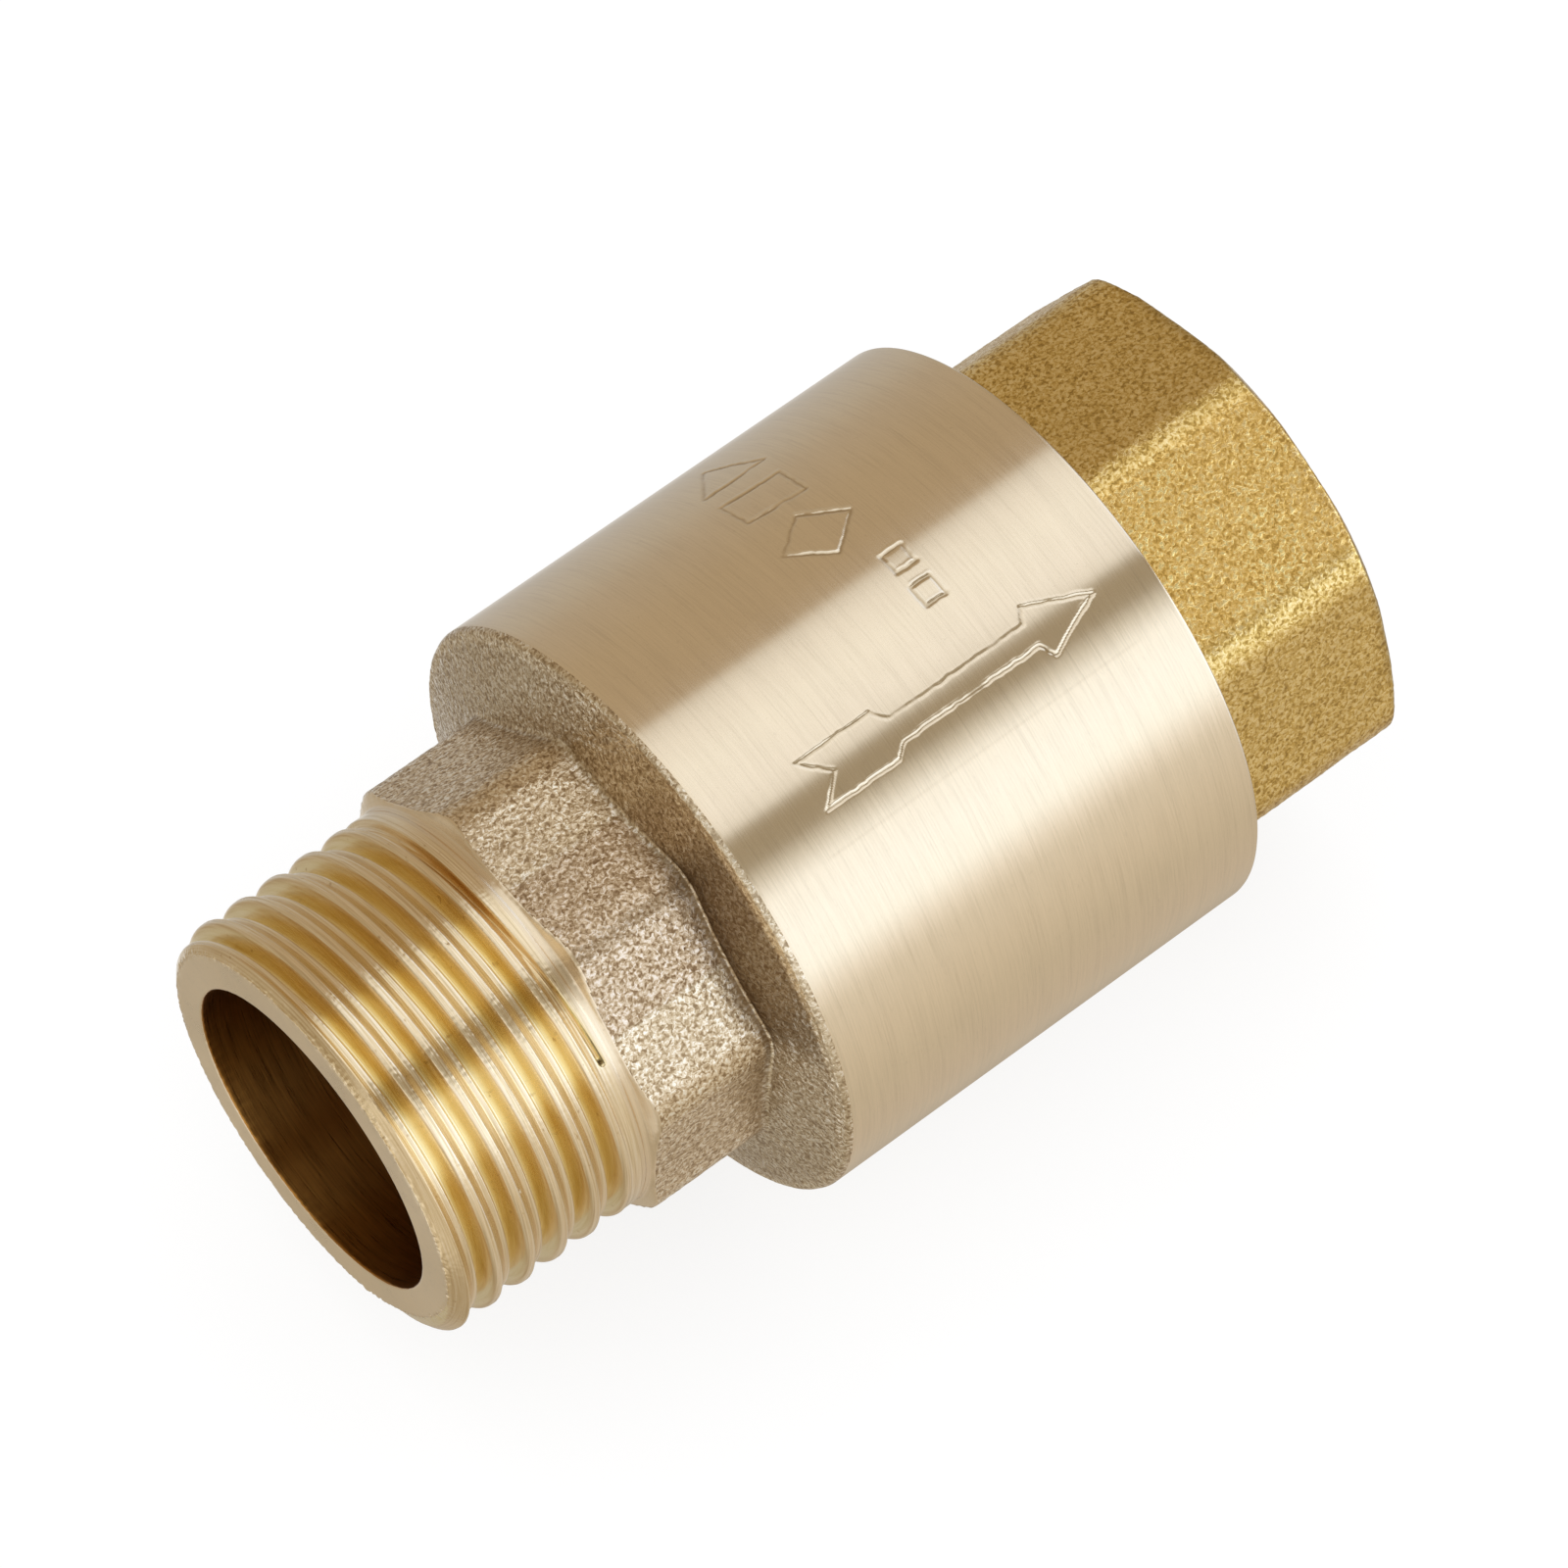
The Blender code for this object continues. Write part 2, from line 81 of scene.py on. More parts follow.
# ------------------------------------------------------------------ numbers
def lattice_hash(ix, iy, iz, seed):
    mixed = (ix.astype(np.uint32) * np.uint32(374761393)
             + iy.astype(np.uint32) * np.uint32(668265263)
             + iz.astype(np.uint32) * np.uint32(2147483647)
             + np.uint32(seed) * np.uint32(3266489917))
    mixed = (mixed ^ (mixed >> np.uint32(13))) * np.uint32(1274126177)
    mixed = (mixed ^ (mixed >> np.uint32(16))) * np.uint32(2246822519)
    return mixed ^ (mixed >> np.uint32(15))


def noise3(points, seed):
    """Gradient noise in about [-1, 1] at points (..., 3), one cell a unit."""
    with np.errstate(over="ignore"):
        cell = np.floor(points).astype(np.int64)
        local = points - cell
        fade = local * local * local * (local * (local * 6 - 15) + 10)
        total = np.zeros(points.shape[:-1])
        for corner in np.ndindex(2, 2, 2):
            hashed = lattice_hash(*(cell[..., i] + corner[i] for i in range(3)), seed)
            weight, slope = 1.0, 0.0
            for i in range(3):
                bits = (hashed >> np.uint32(10 * i)) & np.uint32(1023)
                gradient = bits.astype(float) / 511.5 - 1
                slope = slope + gradient * (local[..., i] - corner[i])
                weight = weight * (fade[..., i] if corner[i] else 1 - fade[..., i])
            total += weight * slope
    return total * 1.4


def layered(points, *layers):
    """Sum of noises given as (gain, cell size, seed)."""
    return sum(gain * noise3(points / size, seed) for gain, size, seed in layers)


def smooth(start, end, value):
    t = np.clip((value - start) / (end - start), 0.0, 1.0)
    return t * t * (3 - 2 * t)


def window(value, rise, fall):
    """0 to 1 over the range rise, and back to 0 over the range fall."""
    return smooth(*rise, value) * (1 - smooth(*fall, value))


def bell(offset, width):
    return np.exp(-(offset / width) ** 2)


def on_circle(x, r, turn):
    """Points at station x, radius r and angle turn about X, in radians."""
    return np.stack(np.broadcast_arrays(x, -r * np.sin(turn), r * np.cos(turn)), -1)


def rounded_octagon(theta, apothem, corner_r, corner_at):
    """Polar radius of an octagon with rounded corners, one corner at corner_at."""
    from_corner = (np.asarray(theta) - corner_at + 22.5) % 45.0 - 22.5
    from_flat = np.radians(22.5 - np.abs(from_corner))      # from a flat's middle
    flat = apothem / np.cos(from_flat)
    half_flat = (apothem - corner_r) * math.tan(math.radians(22.5))
    on_flat = apothem * np.tan(from_flat) <= half_flat
    centre = (apothem - corner_r) / math.cos(math.radians(22.5))
    turn = np.radians(from_corner)
    reach = np.sqrt(np.maximum(corner_r ** 2 - (centre * np.sin(turn)) ** 2, 0))
    return np.where(on_flat, flat, centre * np.cos(turn) + reach)


def rounded_path(corners, steps):
    """(x, r, edge radius) corners -> (x, r) polyline with arcs of steps parts."""
    out = []
    for i, (x, r, radius) in enumerate(corners):
        if radius <= 0 or i == 0 or i == len(corners) - 1:
            out.append((x, r))
            continue
        corner = np.array([x, r])
        back = np.array(corners[i - 1][:2]) - corner
        ahead = np.array(corners[i + 1][:2]) - corner
        back_len, ahead_len = np.linalg.norm(back), np.linalg.norm(ahead)
        back, ahead = back / back_len, ahead / ahead_len
        angle = math.acos(np.clip(back @ ahead, -1, 1))
        if abs(math.pi - angle) < 0.02:
            out.append((x, r))
            continue
        cut = min(radius / math.tan(angle / 2), 0.48 * back_len, 0.48 * ahead_len)
        arc_r = cut * math.tan(angle / 2)
        middle = (back + ahead) / np.linalg.norm(back + ahead)
        centre = corner + middle * (arc_r / math.sin(angle / 2))
        spoke0 = corner + back * cut - centre
        spoke1 = corner + ahead * cut - centre
        sweep = math.pi - angle
        for k in range(steps + 1):
            t = k / steps
            spoke = math.sin((1 - t) * sweep) * spoke0 + math.sin(t * sweep) * spoke1
            out.append(tuple(centre + spoke / math.sin(sweep)))
    return out


def dense(path, step):
    """Adds points along a polyline so that none are further apart than step
    (a number, or a function of (x, r))."""
    out = []
    for (x0, r0), (x1, r1) in zip(path[:-1], path[1:]):
        length = math.hypot(x1 - x0, r1 - r0)
        if length < 1e-9:
            continue
        gap = step(0.5 * (x0 + x1), 0.5 * (r0 + r1)) if callable(step) else step
        parts = max(1, int(math.ceil(length / gap)))
        for i in range(parts):
            out.append((x0 + (x1 - x0) * i / parts, r0 + (r1 - r0) * i / parts))
    out.append(path[-1])
    return out


# ------------------------------------------------------------- mesh builders
def add_object(name, data):
    ob = bpy.data.objects.new(name, data)
    bpy.context.scene.collection.objects.link(ob)
    return ob


def stand_in(ob, body):
    """Puts an object in place of the CAD piece that it is named after."""
    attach(ob, body)
    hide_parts(ob.name.removesuffix("_skin"))
    return ob


def quad_bands(loops, next_loops):
    """Quads between matching loops of vertex numbers, wrapped round each loop."""
    sides = [loops, np.roll(loops, -1, 1), np.roll(next_loops, -1, 1), next_loops]
    return np.stack(sides, -1).reshape(-1, 4)


class Rows(list):
    """Rows of a skin: place, material slot and finish, one value per angle."""

    def __init__(self, theta):
        super().__init__()
        self.ones = np.ones_like(theta)

    def add(self, x, r, tag, grain=0.0, deep=0.0, shade=0.0, ragged=0.0):
        values = (x, r, tag, grain, deep, shade, ragged)
        self.append(tuple(value * self.ones for value in values))

    def stacked(self):
        names = ("x", "r", "tag", "grain", "deep", "shade", "ragged")
        return SimpleNamespace(**{key: np.array(v) for key, v in zip(names, zip(*self))})


def skin(name, rows, theta, materials, relief, attributes):
    """Closed surface from stacked rows, wrapped both ways and moved by relief."""
    turn = np.radians(theta)
    points = on_circle(rows.x, rows.r, turn)
    along = np.roll(points, -1, 0) - np.roll(points, 1, 0)
    across = np.roll(points, -1, 1) - np.roll(points, 1, 1)
    normals = np.cross(across, along)
    normals /= np.maximum(np.linalg.norm(normals, axis=-1, keepdims=True), 1e-12)
    widest = int(np.argmax(rows.r.mean(1)))
    if float((normals[widest] * on_circle(0.0, 1.0, turn)).sum()) < 0:
        normals = -normals

    # displaced, but held inside the CAD box
    points = points + relief(points, normals)
    radius = np.hypot(points[..., 1], points[..., 2])
    hold = np.minimum(1.0, (SHELL_R - 0.0005) / np.maximum(radius, 1e-9))
    points[..., 1:] *= hold[..., None]
    points[..., 0] = np.clip(points[..., 0], X_IN, X_OUT)

    index = np.arange(rows.r.size).reshape(rows.r.shape)
    quads = quad_bands(index, np.roll(index, -1, 0))
    points = points.reshape(-1, 3)
    a, b, c, d = (points[quads[:, i]] for i in range(4))
    if (a * (np.cross(b, c) + np.cross(c, d))).sum() < 0:   # volume: inside out
        quads = quads[:, ::-1]

    mesh = bpy.data.meshes.new(name)
    mesh.vertices.add(len(points))
    mesh.vertices.foreach_set("co", (points * MM).astype(np.float32).ravel())
    mesh.loops.add(len(quads) * 4)
    mesh.loops.foreach_set("vertex_index", quads.astype(np.int32).ravel())
    mesh.polygons.add(len(quads))
    mesh.polygons.foreach_set("loop_start", np.arange(0, len(quads) * 4, 4, dtype=np.int32))
    for material in materials:
        mesh.materials.append(material)
    mesh.polygons.foreach_set("material_index", rows.tag.astype(np.int32).ravel())
    mesh.update(calc_edges=True)
    mesh.validate()
    mesh.shade_smooth()
    for key, values in attributes.items():
        attribute = mesh.attributes.new(key, "FLOAT", "POINT")
        attribute.data.foreach_set("value", values.astype(np.float32).ravel())
    return add_object(name, mesh)


def shade_creased(mesh, crease):
    mesh.shade_smooth()
    mesh.set_sharp_from_angle(angle=math.radians(crease))


def closed_piece(name, points, faces, material, crease, store_slot=False):
    """Object of one material, its faces turned to point outwards."""
    volume = 0.0
    for face in faces:
        for k in range(1, len(face) - 1):
            cross = np.cross(points[face[k]], points[face[k + 1]])
            volume += float(np.dot(points[face[0]], cross))
    if volume < 0:
        faces = [tuple(reversed(face)) for face in faces]
    mesh = bpy.data.meshes.new(name)
    mesh.from_pydata((points * MM).tolist(), [], faces)
    mesh.materials.append(material)
    if store_slot:      # makes the material index attribute
        mesh.polygons.foreach_set("material_index", np.zeros(len(faces), np.int32))
    mesh.update(calc_edges=True)
    shade_creased(mesh, crease)
    return add_object(name, mesh)


def grid_piece(name, xs, rs, theta, material, poles=None, crease=38.0):
    """Rows of (x, r per angle): a ring closed both ways, or, with poles, a bar
    whose ends are closed on the axis."""
    count = rs.size
    points = on_circle(xs, rs, np.radians(theta)).reshape(-1, 3)
    index = np.arange(count).reshape(rs.shape)
    if poles is None:
        faces = quad_bands(index, np.roll(index, -1, 0)).tolist()
    else:
        faces = quad_bands(index[:-1], index[1:]).tolist()
        points = np.vstack([points, [[poles[0], 0, 0], [poles[1], 0, 0]]])
        first, last = index[0].tolist(), index[-1].tolist()
        per_row = len(first)
        faces += [(first[(k + 1) % per_row], first[k], count) for k in range(per_row)]
        faces += [(last[k], last[(k + 1) % per_row], count + 1) for k in range(per_row)]
    return closed_piece(name, points, faces, material, crease, store_slot=True)


def lathe(name, corners, segments, material, steps=3, step=None, shape=None, crease=38.0):
    """Turned piece about X from (x, r, edge radius) corners.  It is solid if both
    ends are on the axis; steps divides each edge arc, step is the longest gap
    and shape(x, r, theta) alters the radii."""
    solid = corners[0][1] == 0 and corners[-1][1] == 0
    if not solid:
        first, last = corners[0], corners[-1]
        middle = (0.5 * (last[0] + first[0]), 0.5 * (last[1] + first[1]), 0)
        corners = [middle, *corners, middle]
    path = rounded_path(corners, steps)
    if step:
        path = dense(path, step)
    path = path[1:-1] if solid else path[:-1]
    theta = np.arange(segments) * 360.0 / segments
    xs, rs = np.array(path).T[:, :, None]
    rs = rs * np.ones(segments)
    if shape is not None:
        rs = shape(xs, rs, theta[None, :])
    poles = (corners[0][0], corners[-1][0]) if solid else None
    return grid_piece(name, xs, rs, theta, material, poles, crease)


def swept(name, loops, material, crease=38.0):
    """Closed bar from equal loops of points, with flat ends."""
    loops = np.array(loops, float)
    per_loop = loops.shape[1]
    points = loops.reshape(-1, 3)
    count = len(points)
    index = np.arange(count).reshape(-1, per_loop)
    faces = quad_bands(index[:-1], index[1:]).tolist()
    points = np.vstack([points, points[:per_loop].mean(0), points[-per_loop:].mean(0)])
    last = count - per_loop
    for k in range(per_loop):
        after = (k + 1) % per_loop
        faces.append((after, k, count))
        faces.append((last + k, last + after, count + 1))
    return closed_piece(name, points, faces, material, crease)


def swept_ring(name, section, angles, material):
    """Open ring: (x, r) section carried round X through angles in degrees."""
    xs, rs = np.array(section).T
    return swept(name, on_circle(xs, rs, np.radians(angles)[:, None]), material)


def merged(base, others, operation="UNION"):
    """Boolean of closed pieces, applied to the mesh of the first."""
    for other in others:
        boolean = base.modifiers.new("merge", "BOOLEAN")
        boolean.operation = operation
        boolean.solver = "EXACT"
        boolean.object = other
    bpy.context.view_layer.update()
    evaluated = base.evaluated_get(bpy.context.evaluated_depsgraph_get())
    mesh = bpy.data.meshes.new_from_object(evaluated)
    base.modifiers.clear()
    base.data = mesh
    for other in others:
        bpy.data.objects.remove(other, do_unlink=True)
    shade_creased(mesh, 32.0)
    return base


# ---------------------------------------------------------------- materials
class Graph:
    """Short hand for building a node tree."""

    def __init__(self, tree):
        self.tree = tree

    def feed(self, socket, value):
        """Gives a socket a number, a colour or vector, or a link."""
        if isinstance(value, bpy.types.NodeSocket):
            self.tree.links.new(value, socket)
        elif isinstance(value, tuple):
            socket.default_value = (*value, 1.0)[:len(socket.default_value)]
        else:
            socket.default_value = value

    def node(self, kind, inputs={}, **settings):
        made = self.tree.nodes.new("ShaderNode" + kind)
        for key, value in settings.items():
            setattr(made, key, value)
        for key, value in inputs.items():
            self.feed(made.inputs[key], value)
        return made

    def ramp(self, value, stops):
        made = self.node("ValToRGB", {"Fac": value})
        elements = made.color_ramp.elements
        while len(elements) > 1:
            elements.remove(elements[-1])
        elements[0].position = stops[0][0]
        elements[0].color = (*stops[0][1], 1.0)
        for position, colour in stops[1:]:
            elements.new(position).color = (*colour, 1.0)
        return made.outputs["Color"]

    def remap(self, value, source, target=(0.0, 1.0), kind="LINEAR"):
        """Carries the range source on to the range target."""
        return self.node("MapRange", {
            "From Min": source[0], "From Max": source[1], "To Min": target[0],
            "To Max": target[1], "Value": value}, interpolation_type=kind).outputs["Result"]

    def math(self, operation, a, b):
        return self.node("Math", {0: a, 1: b}, operation=operation).outputs["Value"]

    def mix(self, factor, a, b, mode="MIX"):
        return self.node("Mix", {0: factor, 6: a, 7: b}, data_type="RGBA",
                         blend_type=mode).outputs[2]


class Surface(Graph):
    """Node tree of a material round its Principled shader."""

    def __init__(self, name):
        self.material = bpy.data.materials.new(name)
        self.material.use_nodes = True
        super().__init__(self.material.node_tree)
        self.coord = self.node("TexCoord")

    def noise(self, per_mm, detail=2.0, rough=0.5, distort=0.0):
        """Noise with per_mm cells a millimetre, one number or one per axis."""
        place = self.node("Mapping", {"Scale": tuple(1000.0 * (np.ones(3) * per_mm)),
                                      "Vector": self.coord.outputs["Object"]})
        return self.node("TexNoise", {
            "Scale": 1.0, "Detail": detail, "Roughness": rough, "Distortion": distort,
            "Vector": place.outputs["Vector"]}).outputs["Fac"]

    def attr(self, name):
        return self.node("Attribute", attribute_name=name).outputs["Fac"]

    def bump(self, height, depth_mm):
        return self.node("Bump", {"Strength": 1.0, "Distance": depth_mm * MM,
                                  "Height": height}).outputs["Normal"]

    def finish(self, colour, rough, normal, metal=1.0, stretch=None):
        """Feeds the shader; stretch draws highlights out across turned lines."""
        inputs = {"Base Color": colour, "Roughness": rough, "Normal": normal,
                  "Metallic": metal}
        if stretch is not None:
            tangent = self.node("Tangent", direction_type="RADIAL", axis="X")
            inputs.update({"Anisotropic": stretch, "Anisotropic Rotation": 0.25,
                           "Tangent": tangent.outputs["Tangent"]})
        for key, value in inputs.items():
            self.feed(self.tree.nodes["Principled BSDF"].inputs[key], value)
        return self.material


def tint(colour, gain):
    """Colour times a gain, one number or one per channel, held at 1."""
    gains = gain if isinstance(gain, tuple) else (gain,) * 3
    return tuple(min(1.0, channel * k) for channel, k in zip(colour, gains))


def turned_brass(name, base, rough=0.2, stretch=1.0, streak=0.06, lines=0.0015,
                 marked=False):
    """Turned brass: fine lines round the axis, lines mm deep, and streaks of tone."""
    s = Surface(name)
    fine = s.noise((13.0, 0.30, 0.30), detail=5.0, rough=0.74)
    broad = s.noise((2.2, 0.10, 0.10))
    both = s.math("ADD", s.math("MULTIPLY", fine, 0.78), s.math("MULTIPLY", broad, 0.22))
    colour = s.ramp(both, [(0.30, tint(base, 1 - streak * 2.2)), (0.5, base),
                           (0.70, tint(base, 1 + streak))])
    speck = s.noise((9.0, 5.0, 5.0), detail=1.0)
    colour = s.mix(s.remap(speck, (0.66, 0.78), (0.0, 0.30)), colour, tint(base, 1.10))
    colour = s.mix(s.remap(speck, (0.34, 0.22), (0.0, 0.35)), colour, tint(base, 0.80))
    if marked:      # darker in the grooves; the burrs painted pale on one side, a painted highlight
        mark = s.attr("mark")
        colour = s.mix(s.remap(mark, (0.0, 1.0), (0.0, 0.85)), colour,
                       tint(base, (0.52, 0.46, 0.36)))
        colour = s.mix(s.remap(mark, (0.0, -1.0), (0.0, 0.8)), colour, (0.99, 0.93, 0.80))
    return s.finish(colour, s.remap(fine, (0.3, 0.7), (rough * 0.85, rough * 1.2)),
                    s.bump(s.noise((16.0, 0.10, 0.10), rough=0.6), lines), stretch=stretch)


def cast_brass(name, low, mid, high, tip, grain_mm, depth_mm, rough):
    """Shot-blasted casting: crinkled grain with bright tops and dark creases.
    The attributes shade and lift paint it: painted shade below 0 and painted light above 0, not
    a finish of the metal."""
    s = Surface(name)
    cells = 1.0 / grain_mm
    fine = s.noise(cells, detail=2.5, rough=0.55, distort=0.6)
    soft = s.noise(cells * 0.42, detail=1.5, distort=0.3)
    tone = s.noise(0.25)
    height = s.math("ADD", s.math("MULTIPLY", fine, 0.6), s.math("MULTIPLY", soft, 0.5))
    colour = s.ramp(fine, [(0.35, low), (0.46, mid), (0.57, high), (0.64, tip)])
    colour = s.mix(s.remap(tone, (0.35, 0.65), (0.0, 0.22)), colour, tint(mid, 0.84))
    shade = s.attr("shade")
    colour = s.mix(s.remap(shade, (0.0, -1.0), (0.0, 0.90)), colour,
                   tint(mid, (0.22, 0.16, 0.10)))
    colour = s.mix(s.remap(shade, (0.0, 1.0), (0.0, 0.80)), colour, tint(high, 1.25))
    # lift paints light and shade on whole flats: above 0 the colour is brightened, below 0
    # darkened
    lift = s.attr("lift")
    lifted = s.mix(1.0, colour, (1.21, 1.145, 1.07), "MULTIPLY")
    lifted.node.clamp_result = True
    colour = s.mix(s.remap(lift, (0.0, 1.0)), colour, lifted)
    colour = s.mix(s.remap(lift, (0.0, -1.0)), colour,
                   s.mix(1.0, colour, (0.87, 0.81, 0.775), "MULTIPLY"))
    return s.finish(colour, s.remap(fine, (0.38, 0.62), (rough * 1.35, rough * 0.75)),
                    s.bump(height, depth_mm))


def male_thread_brass():
    """Golden valleys and pale crests, partly painted light; deep is 0 on a crest, 0.5
    chased, 1 in a valley and 2 where it is painted nearly black as shade."""
    s = Surface("Threaded brass")
    deep = s.attr("deep")
    lines = s.noise((14.0, 0.22, 0.22), detail=2.5, rough=0.6)
    valley, chase, crest = (s.ramp(lines, list(zip((0.3, 0.5, 0.72), tones))) for tones in (
        ((0.83, 0.68, 0.36), (0.90, 0.77, 0.47), (0.95, 0.84, 0.57)),
        ((0.66, 0.48, 0.24), (0.80, 0.62, 0.36), (0.90, 0.74, 0.50)),
        ((0.68, 0.54, 0.34), (0.865, 0.72, 0.49), (0.96, 0.85, 0.66))))
    fleck = s.noise((5.0, 2.2, 2.2), detail=1.0)
    to_valley = s.remap(deep, (0.5, 1.0))
    colour = s.mix(to_valley, s.mix(s.remap(deep, (0.0, 0.5)), crest, chase), valley)
    # the attribute shade paints a pale highlight into the valleys
    colour = s.mix(s.remap(s.attr("shade"), (0.0, 1.0), (0.0, 0.95)), colour,
                   (0.99, 0.91, 0.70))
    colour = s.mix(s.remap(fleck, (0.72, 0.80), (0.0, 0.5)), colour, (0.45, 0.27, 0.08))
    colour = s.mix(s.remap(deep, (1.2, 2.0), (0.0, 0.9)), colour, (0.10, 0.055, 0.02))
    return s.finish(colour, s.remap(lines, (0.3, 0.7), (0.14, 0.24)),
                    s.bump(lines, 0.004), stretch=0.7)


def female_thread_brass():
    s = Surface("Threaded yellow brass")
    deep = s.attr("deep")
    lines = s.noise((12.0, 0.22, 0.22), detail=2.5, rough=0.6)
    return s.finish(s.mix(deep, (0.80, 0.63, 0.33), (0.62, 0.40, 0.11)),
                    s.remap(lines, (0.3, 0.7), (0.18, 0.3)), s.bump(lines, 0.006))


def steel(name, dark, light, per_mm, rough, depth_mm, stretch=0.0):
    """Bright stainless: faint lines or scuffs, with a little colour drift."""
    s = Surface(name)
    fine = s.noise(per_mm, detail=3.0, rough=0.6)
    drift = s.noise(0.6)
    colour = s.mix(s.remap(drift, (0.35, 0.65), (0.0, 0.25)),
                   s.ramp(fine, [(0.32, dark), (0.68, light)]),
                   tint(dark, (1.0, 0.97, 0.92)))
    scuff = s.noise((3.4, 1.2, 1.2), detail=3.0, rough=0.6)
    roughness = s.math("ADD", s.remap(fine, (0.3, 0.7), (rough * 0.8, rough * 1.25)),
                       s.remap(scuff, (0.50, 0.80), (0.0, 0.05)))
    return s.finish(colour, roughness, s.bump(fine, depth_mm), stretch=stretch)


def moulded(name, dark, light, rough, depth_mm, **grain):
    """Rubber or plastic; rough is its lowest and highest roughness."""
    s = Surface(name)
    fine = s.noise(**grain)
    return s.finish(s.ramp(fine, [(0.3, dark), (0.7, light)]),
                    s.remap(fine, (0.3, 0.7), rough), s.bump(fine, depth_mm), metal=0.0)


shell_brass = turned_brass("Turned champagne brass", (0.86, 0.735, 0.55), marked=True)
band_brass = turned_brass("Machined collar brass", (0.85, 0.71, 0.51), rough=0.22,
                          stretch=0.9, streak=0.07)
face_brass = turned_brass("Faced end brass", (0.84, 0.70, 0.50), rough=0.30, stretch=0.8,
                          streak=0.05)
bronze_casting = cast_brass(
    "Blasted bronze brass", low=(0.30, 0.20, 0.108), mid=(0.57, 0.44, 0.275),
    high=(0.83, 0.715, 0.54), tip=(0.97, 0.90, 0.78), grain_mm=0.190, depth_mm=0.056,
    rough=0.28)
bore_brass = turned_brass("Bored brass", (0.43, 0.205, 0.045), rough=0.30, stretch=0.7,
                          streak=0.20, lines=0.004)
thread_brass = male_thread_brass()
yellow_casting = cast_brass(
    "Blasted yellow brass", low=(0.39, 0.238, 0.058), mid=(0.66, 0.438, 0.123),
    high=(0.88, 0.665, 0.285), tip=(0.94, 0.74, 0.38), grain_mm=0.195, depth_mm=0.050,
    rough=0.29)
yellow_turned = turned_brass("Turned yellow brass", (0.74, 0.55, 0.22), rough=0.26,
                             stretch=0.8, streak=0.08)
poppet_brass = turned_brass("Turned poppet brass", (0.80, 0.64, 0.36), rough=0.22,
                            stretch=0.8, streak=0.10, lines=0.003)
ground_steel = steel("Ground stainless steel", (0.52, 0.51, 0.50), (0.70, 0.69, 0.67),
                     per_mm=(14.0, 0.5, 0.5), rough=0.20, depth_mm=0.0015, stretch=0.6)
pressed_steel = steel("Pressed stainless steel", (0.46, 0.45, 0.44), (0.64, 0.63, 0.61),
                      per_mm=6.0, rough=0.30, depth_mm=0.004)
wire_steel = steel("Drawn spring wire", (0.44, 0.43, 0.42), (0.66, 0.65, 0.63),
                   per_mm=5.0, rough=0.24, depth_mm=0.003)
rubber = moulded("Nitrile rubber", (0.012, 0.012, 0.013), (0.03, 0.03, 0.032),
                 rough=(0.5, 0.7), depth_mm=0.01, per_mm=5.0, detail=4.0)
rubber_noise = next(n for n in rubber.node_tree.nodes if n.type == "TEX_NOISE")
rubber_noise.inputs["Roughness"].default_value = 0.6
acetal = moulded("Moulded acetal", (0.74, 0.73, 0.68), (0.83, 0.82, 0.78),
                 rough=(0.38, 0.5), depth_mm=0.006, per_mm=2.0, detail=3.0)
ptfe = moulded("PTFE", (0.80, 0.80, 0.78), (0.88, 0.88, 0.87),
               rough=(0.45, 0.6), depth_mm=0.004, per_mm=3.0, detail=3.0)
yellow_thread = female_thread_brass()


# ------------------------------------------------------------ inlet body skin
def angle_grid(count, dense_from, dense_to, gain):
    """Angles round the axis, packed gain times closer between two angles."""
    t = np.linspace(-180, 180, 7201)
    weight = 1.0 + (gain - 1.0) * window(t, (dense_from - 6, dense_from),
                                         (dense_to, dense_to + 6))
    share = np.concatenate([[0], np.cumsum(0.5 * (weight[1:] + weight[:-1]))])
    share /= share[-1]
    return np.interp(np.arange(count) / count, share, t)


THETA = angle_grid(960, -54, 36, 1.6)
CAST, FACE, THREAD, BAND, BORE, SHELL = range(6)            # material slots
NECK_R = rounded_octagon(THETA, 10.55, 2.8, 25.3)
FACING = window(THETA, (8, 26), (66, 84))     # flat most in the chamber's shade

# one pitch of the male thread as (x, r), from its crest towards the outlet: a
# narrow flat crest with a chatter line, a slope down to a small flat lip, a
# steep flank, a round root and the long flank up to the next crest
MALE_PROFILE = np.array([
    (0.000, 10.470), (0.040, 10.435), (0.085, 10.468), (0.145, 10.475), (0.205, 10.440),
    (0.270, 10.360), (0.360, 10.270), (0.460, 10.180), (0.560, 10.100), (0.640, 10.045),
    (0.690, 10.040), (0.735, 10.072), (0.800, 10.086), (0.870, 10.075), (0.920, 10.030),
    (0.965, 9.920), (1.020, 9.700), (1.075, 9.480), (1.130, 9.390), (1.190, 9.365),
    (1.250, 9.400), (1.305, 9.500), (1.420, 9.840), (1.520, 10.120), (1.580, 10.280),
    (1.620, 10.370), (1.665, 10.420), (1.730, 10.455), (PITCH, 10.470)])
# tone along it as (x, tone): 0 pale, 0.5 straw, 1 gold; the pale crests and lips
# and the gold valleys are partly painted light, the crests' glint and the light bounced between
# the flanks
MALE_TONE = np.array([
    (0.00, 0.05), (0.03, 0.40), (0.07, 0.05), (0.16, 0.0), (0.24, 0.05), (0.32, 0.45),
    (0.64, 0.55), (0.70, 0.25), (0.74, 0.0), (0.90, 0.0), (0.96, 0.5), (1.04, 1.0),
    (1.50, 1.0), (1.58, 0.75), (1.64, 0.2), (1.70, 0.0), (PITCH, 0.05)])
CREST_AT_25 = X_IN + 3.735           # one crest's x at theta = 25 degrees


def male_phase(x):
    """Distance past the last thread crest at each angle."""
    return np.mod(x - (CREST_AT_25 + PITCH * (THETA - 25.0) / 360.0), PITCH)


def start_cone(x):
    """Radius of the cone that chamfers the start of the thread."""
    return 9.65 + (x - X_IN) * 1.35


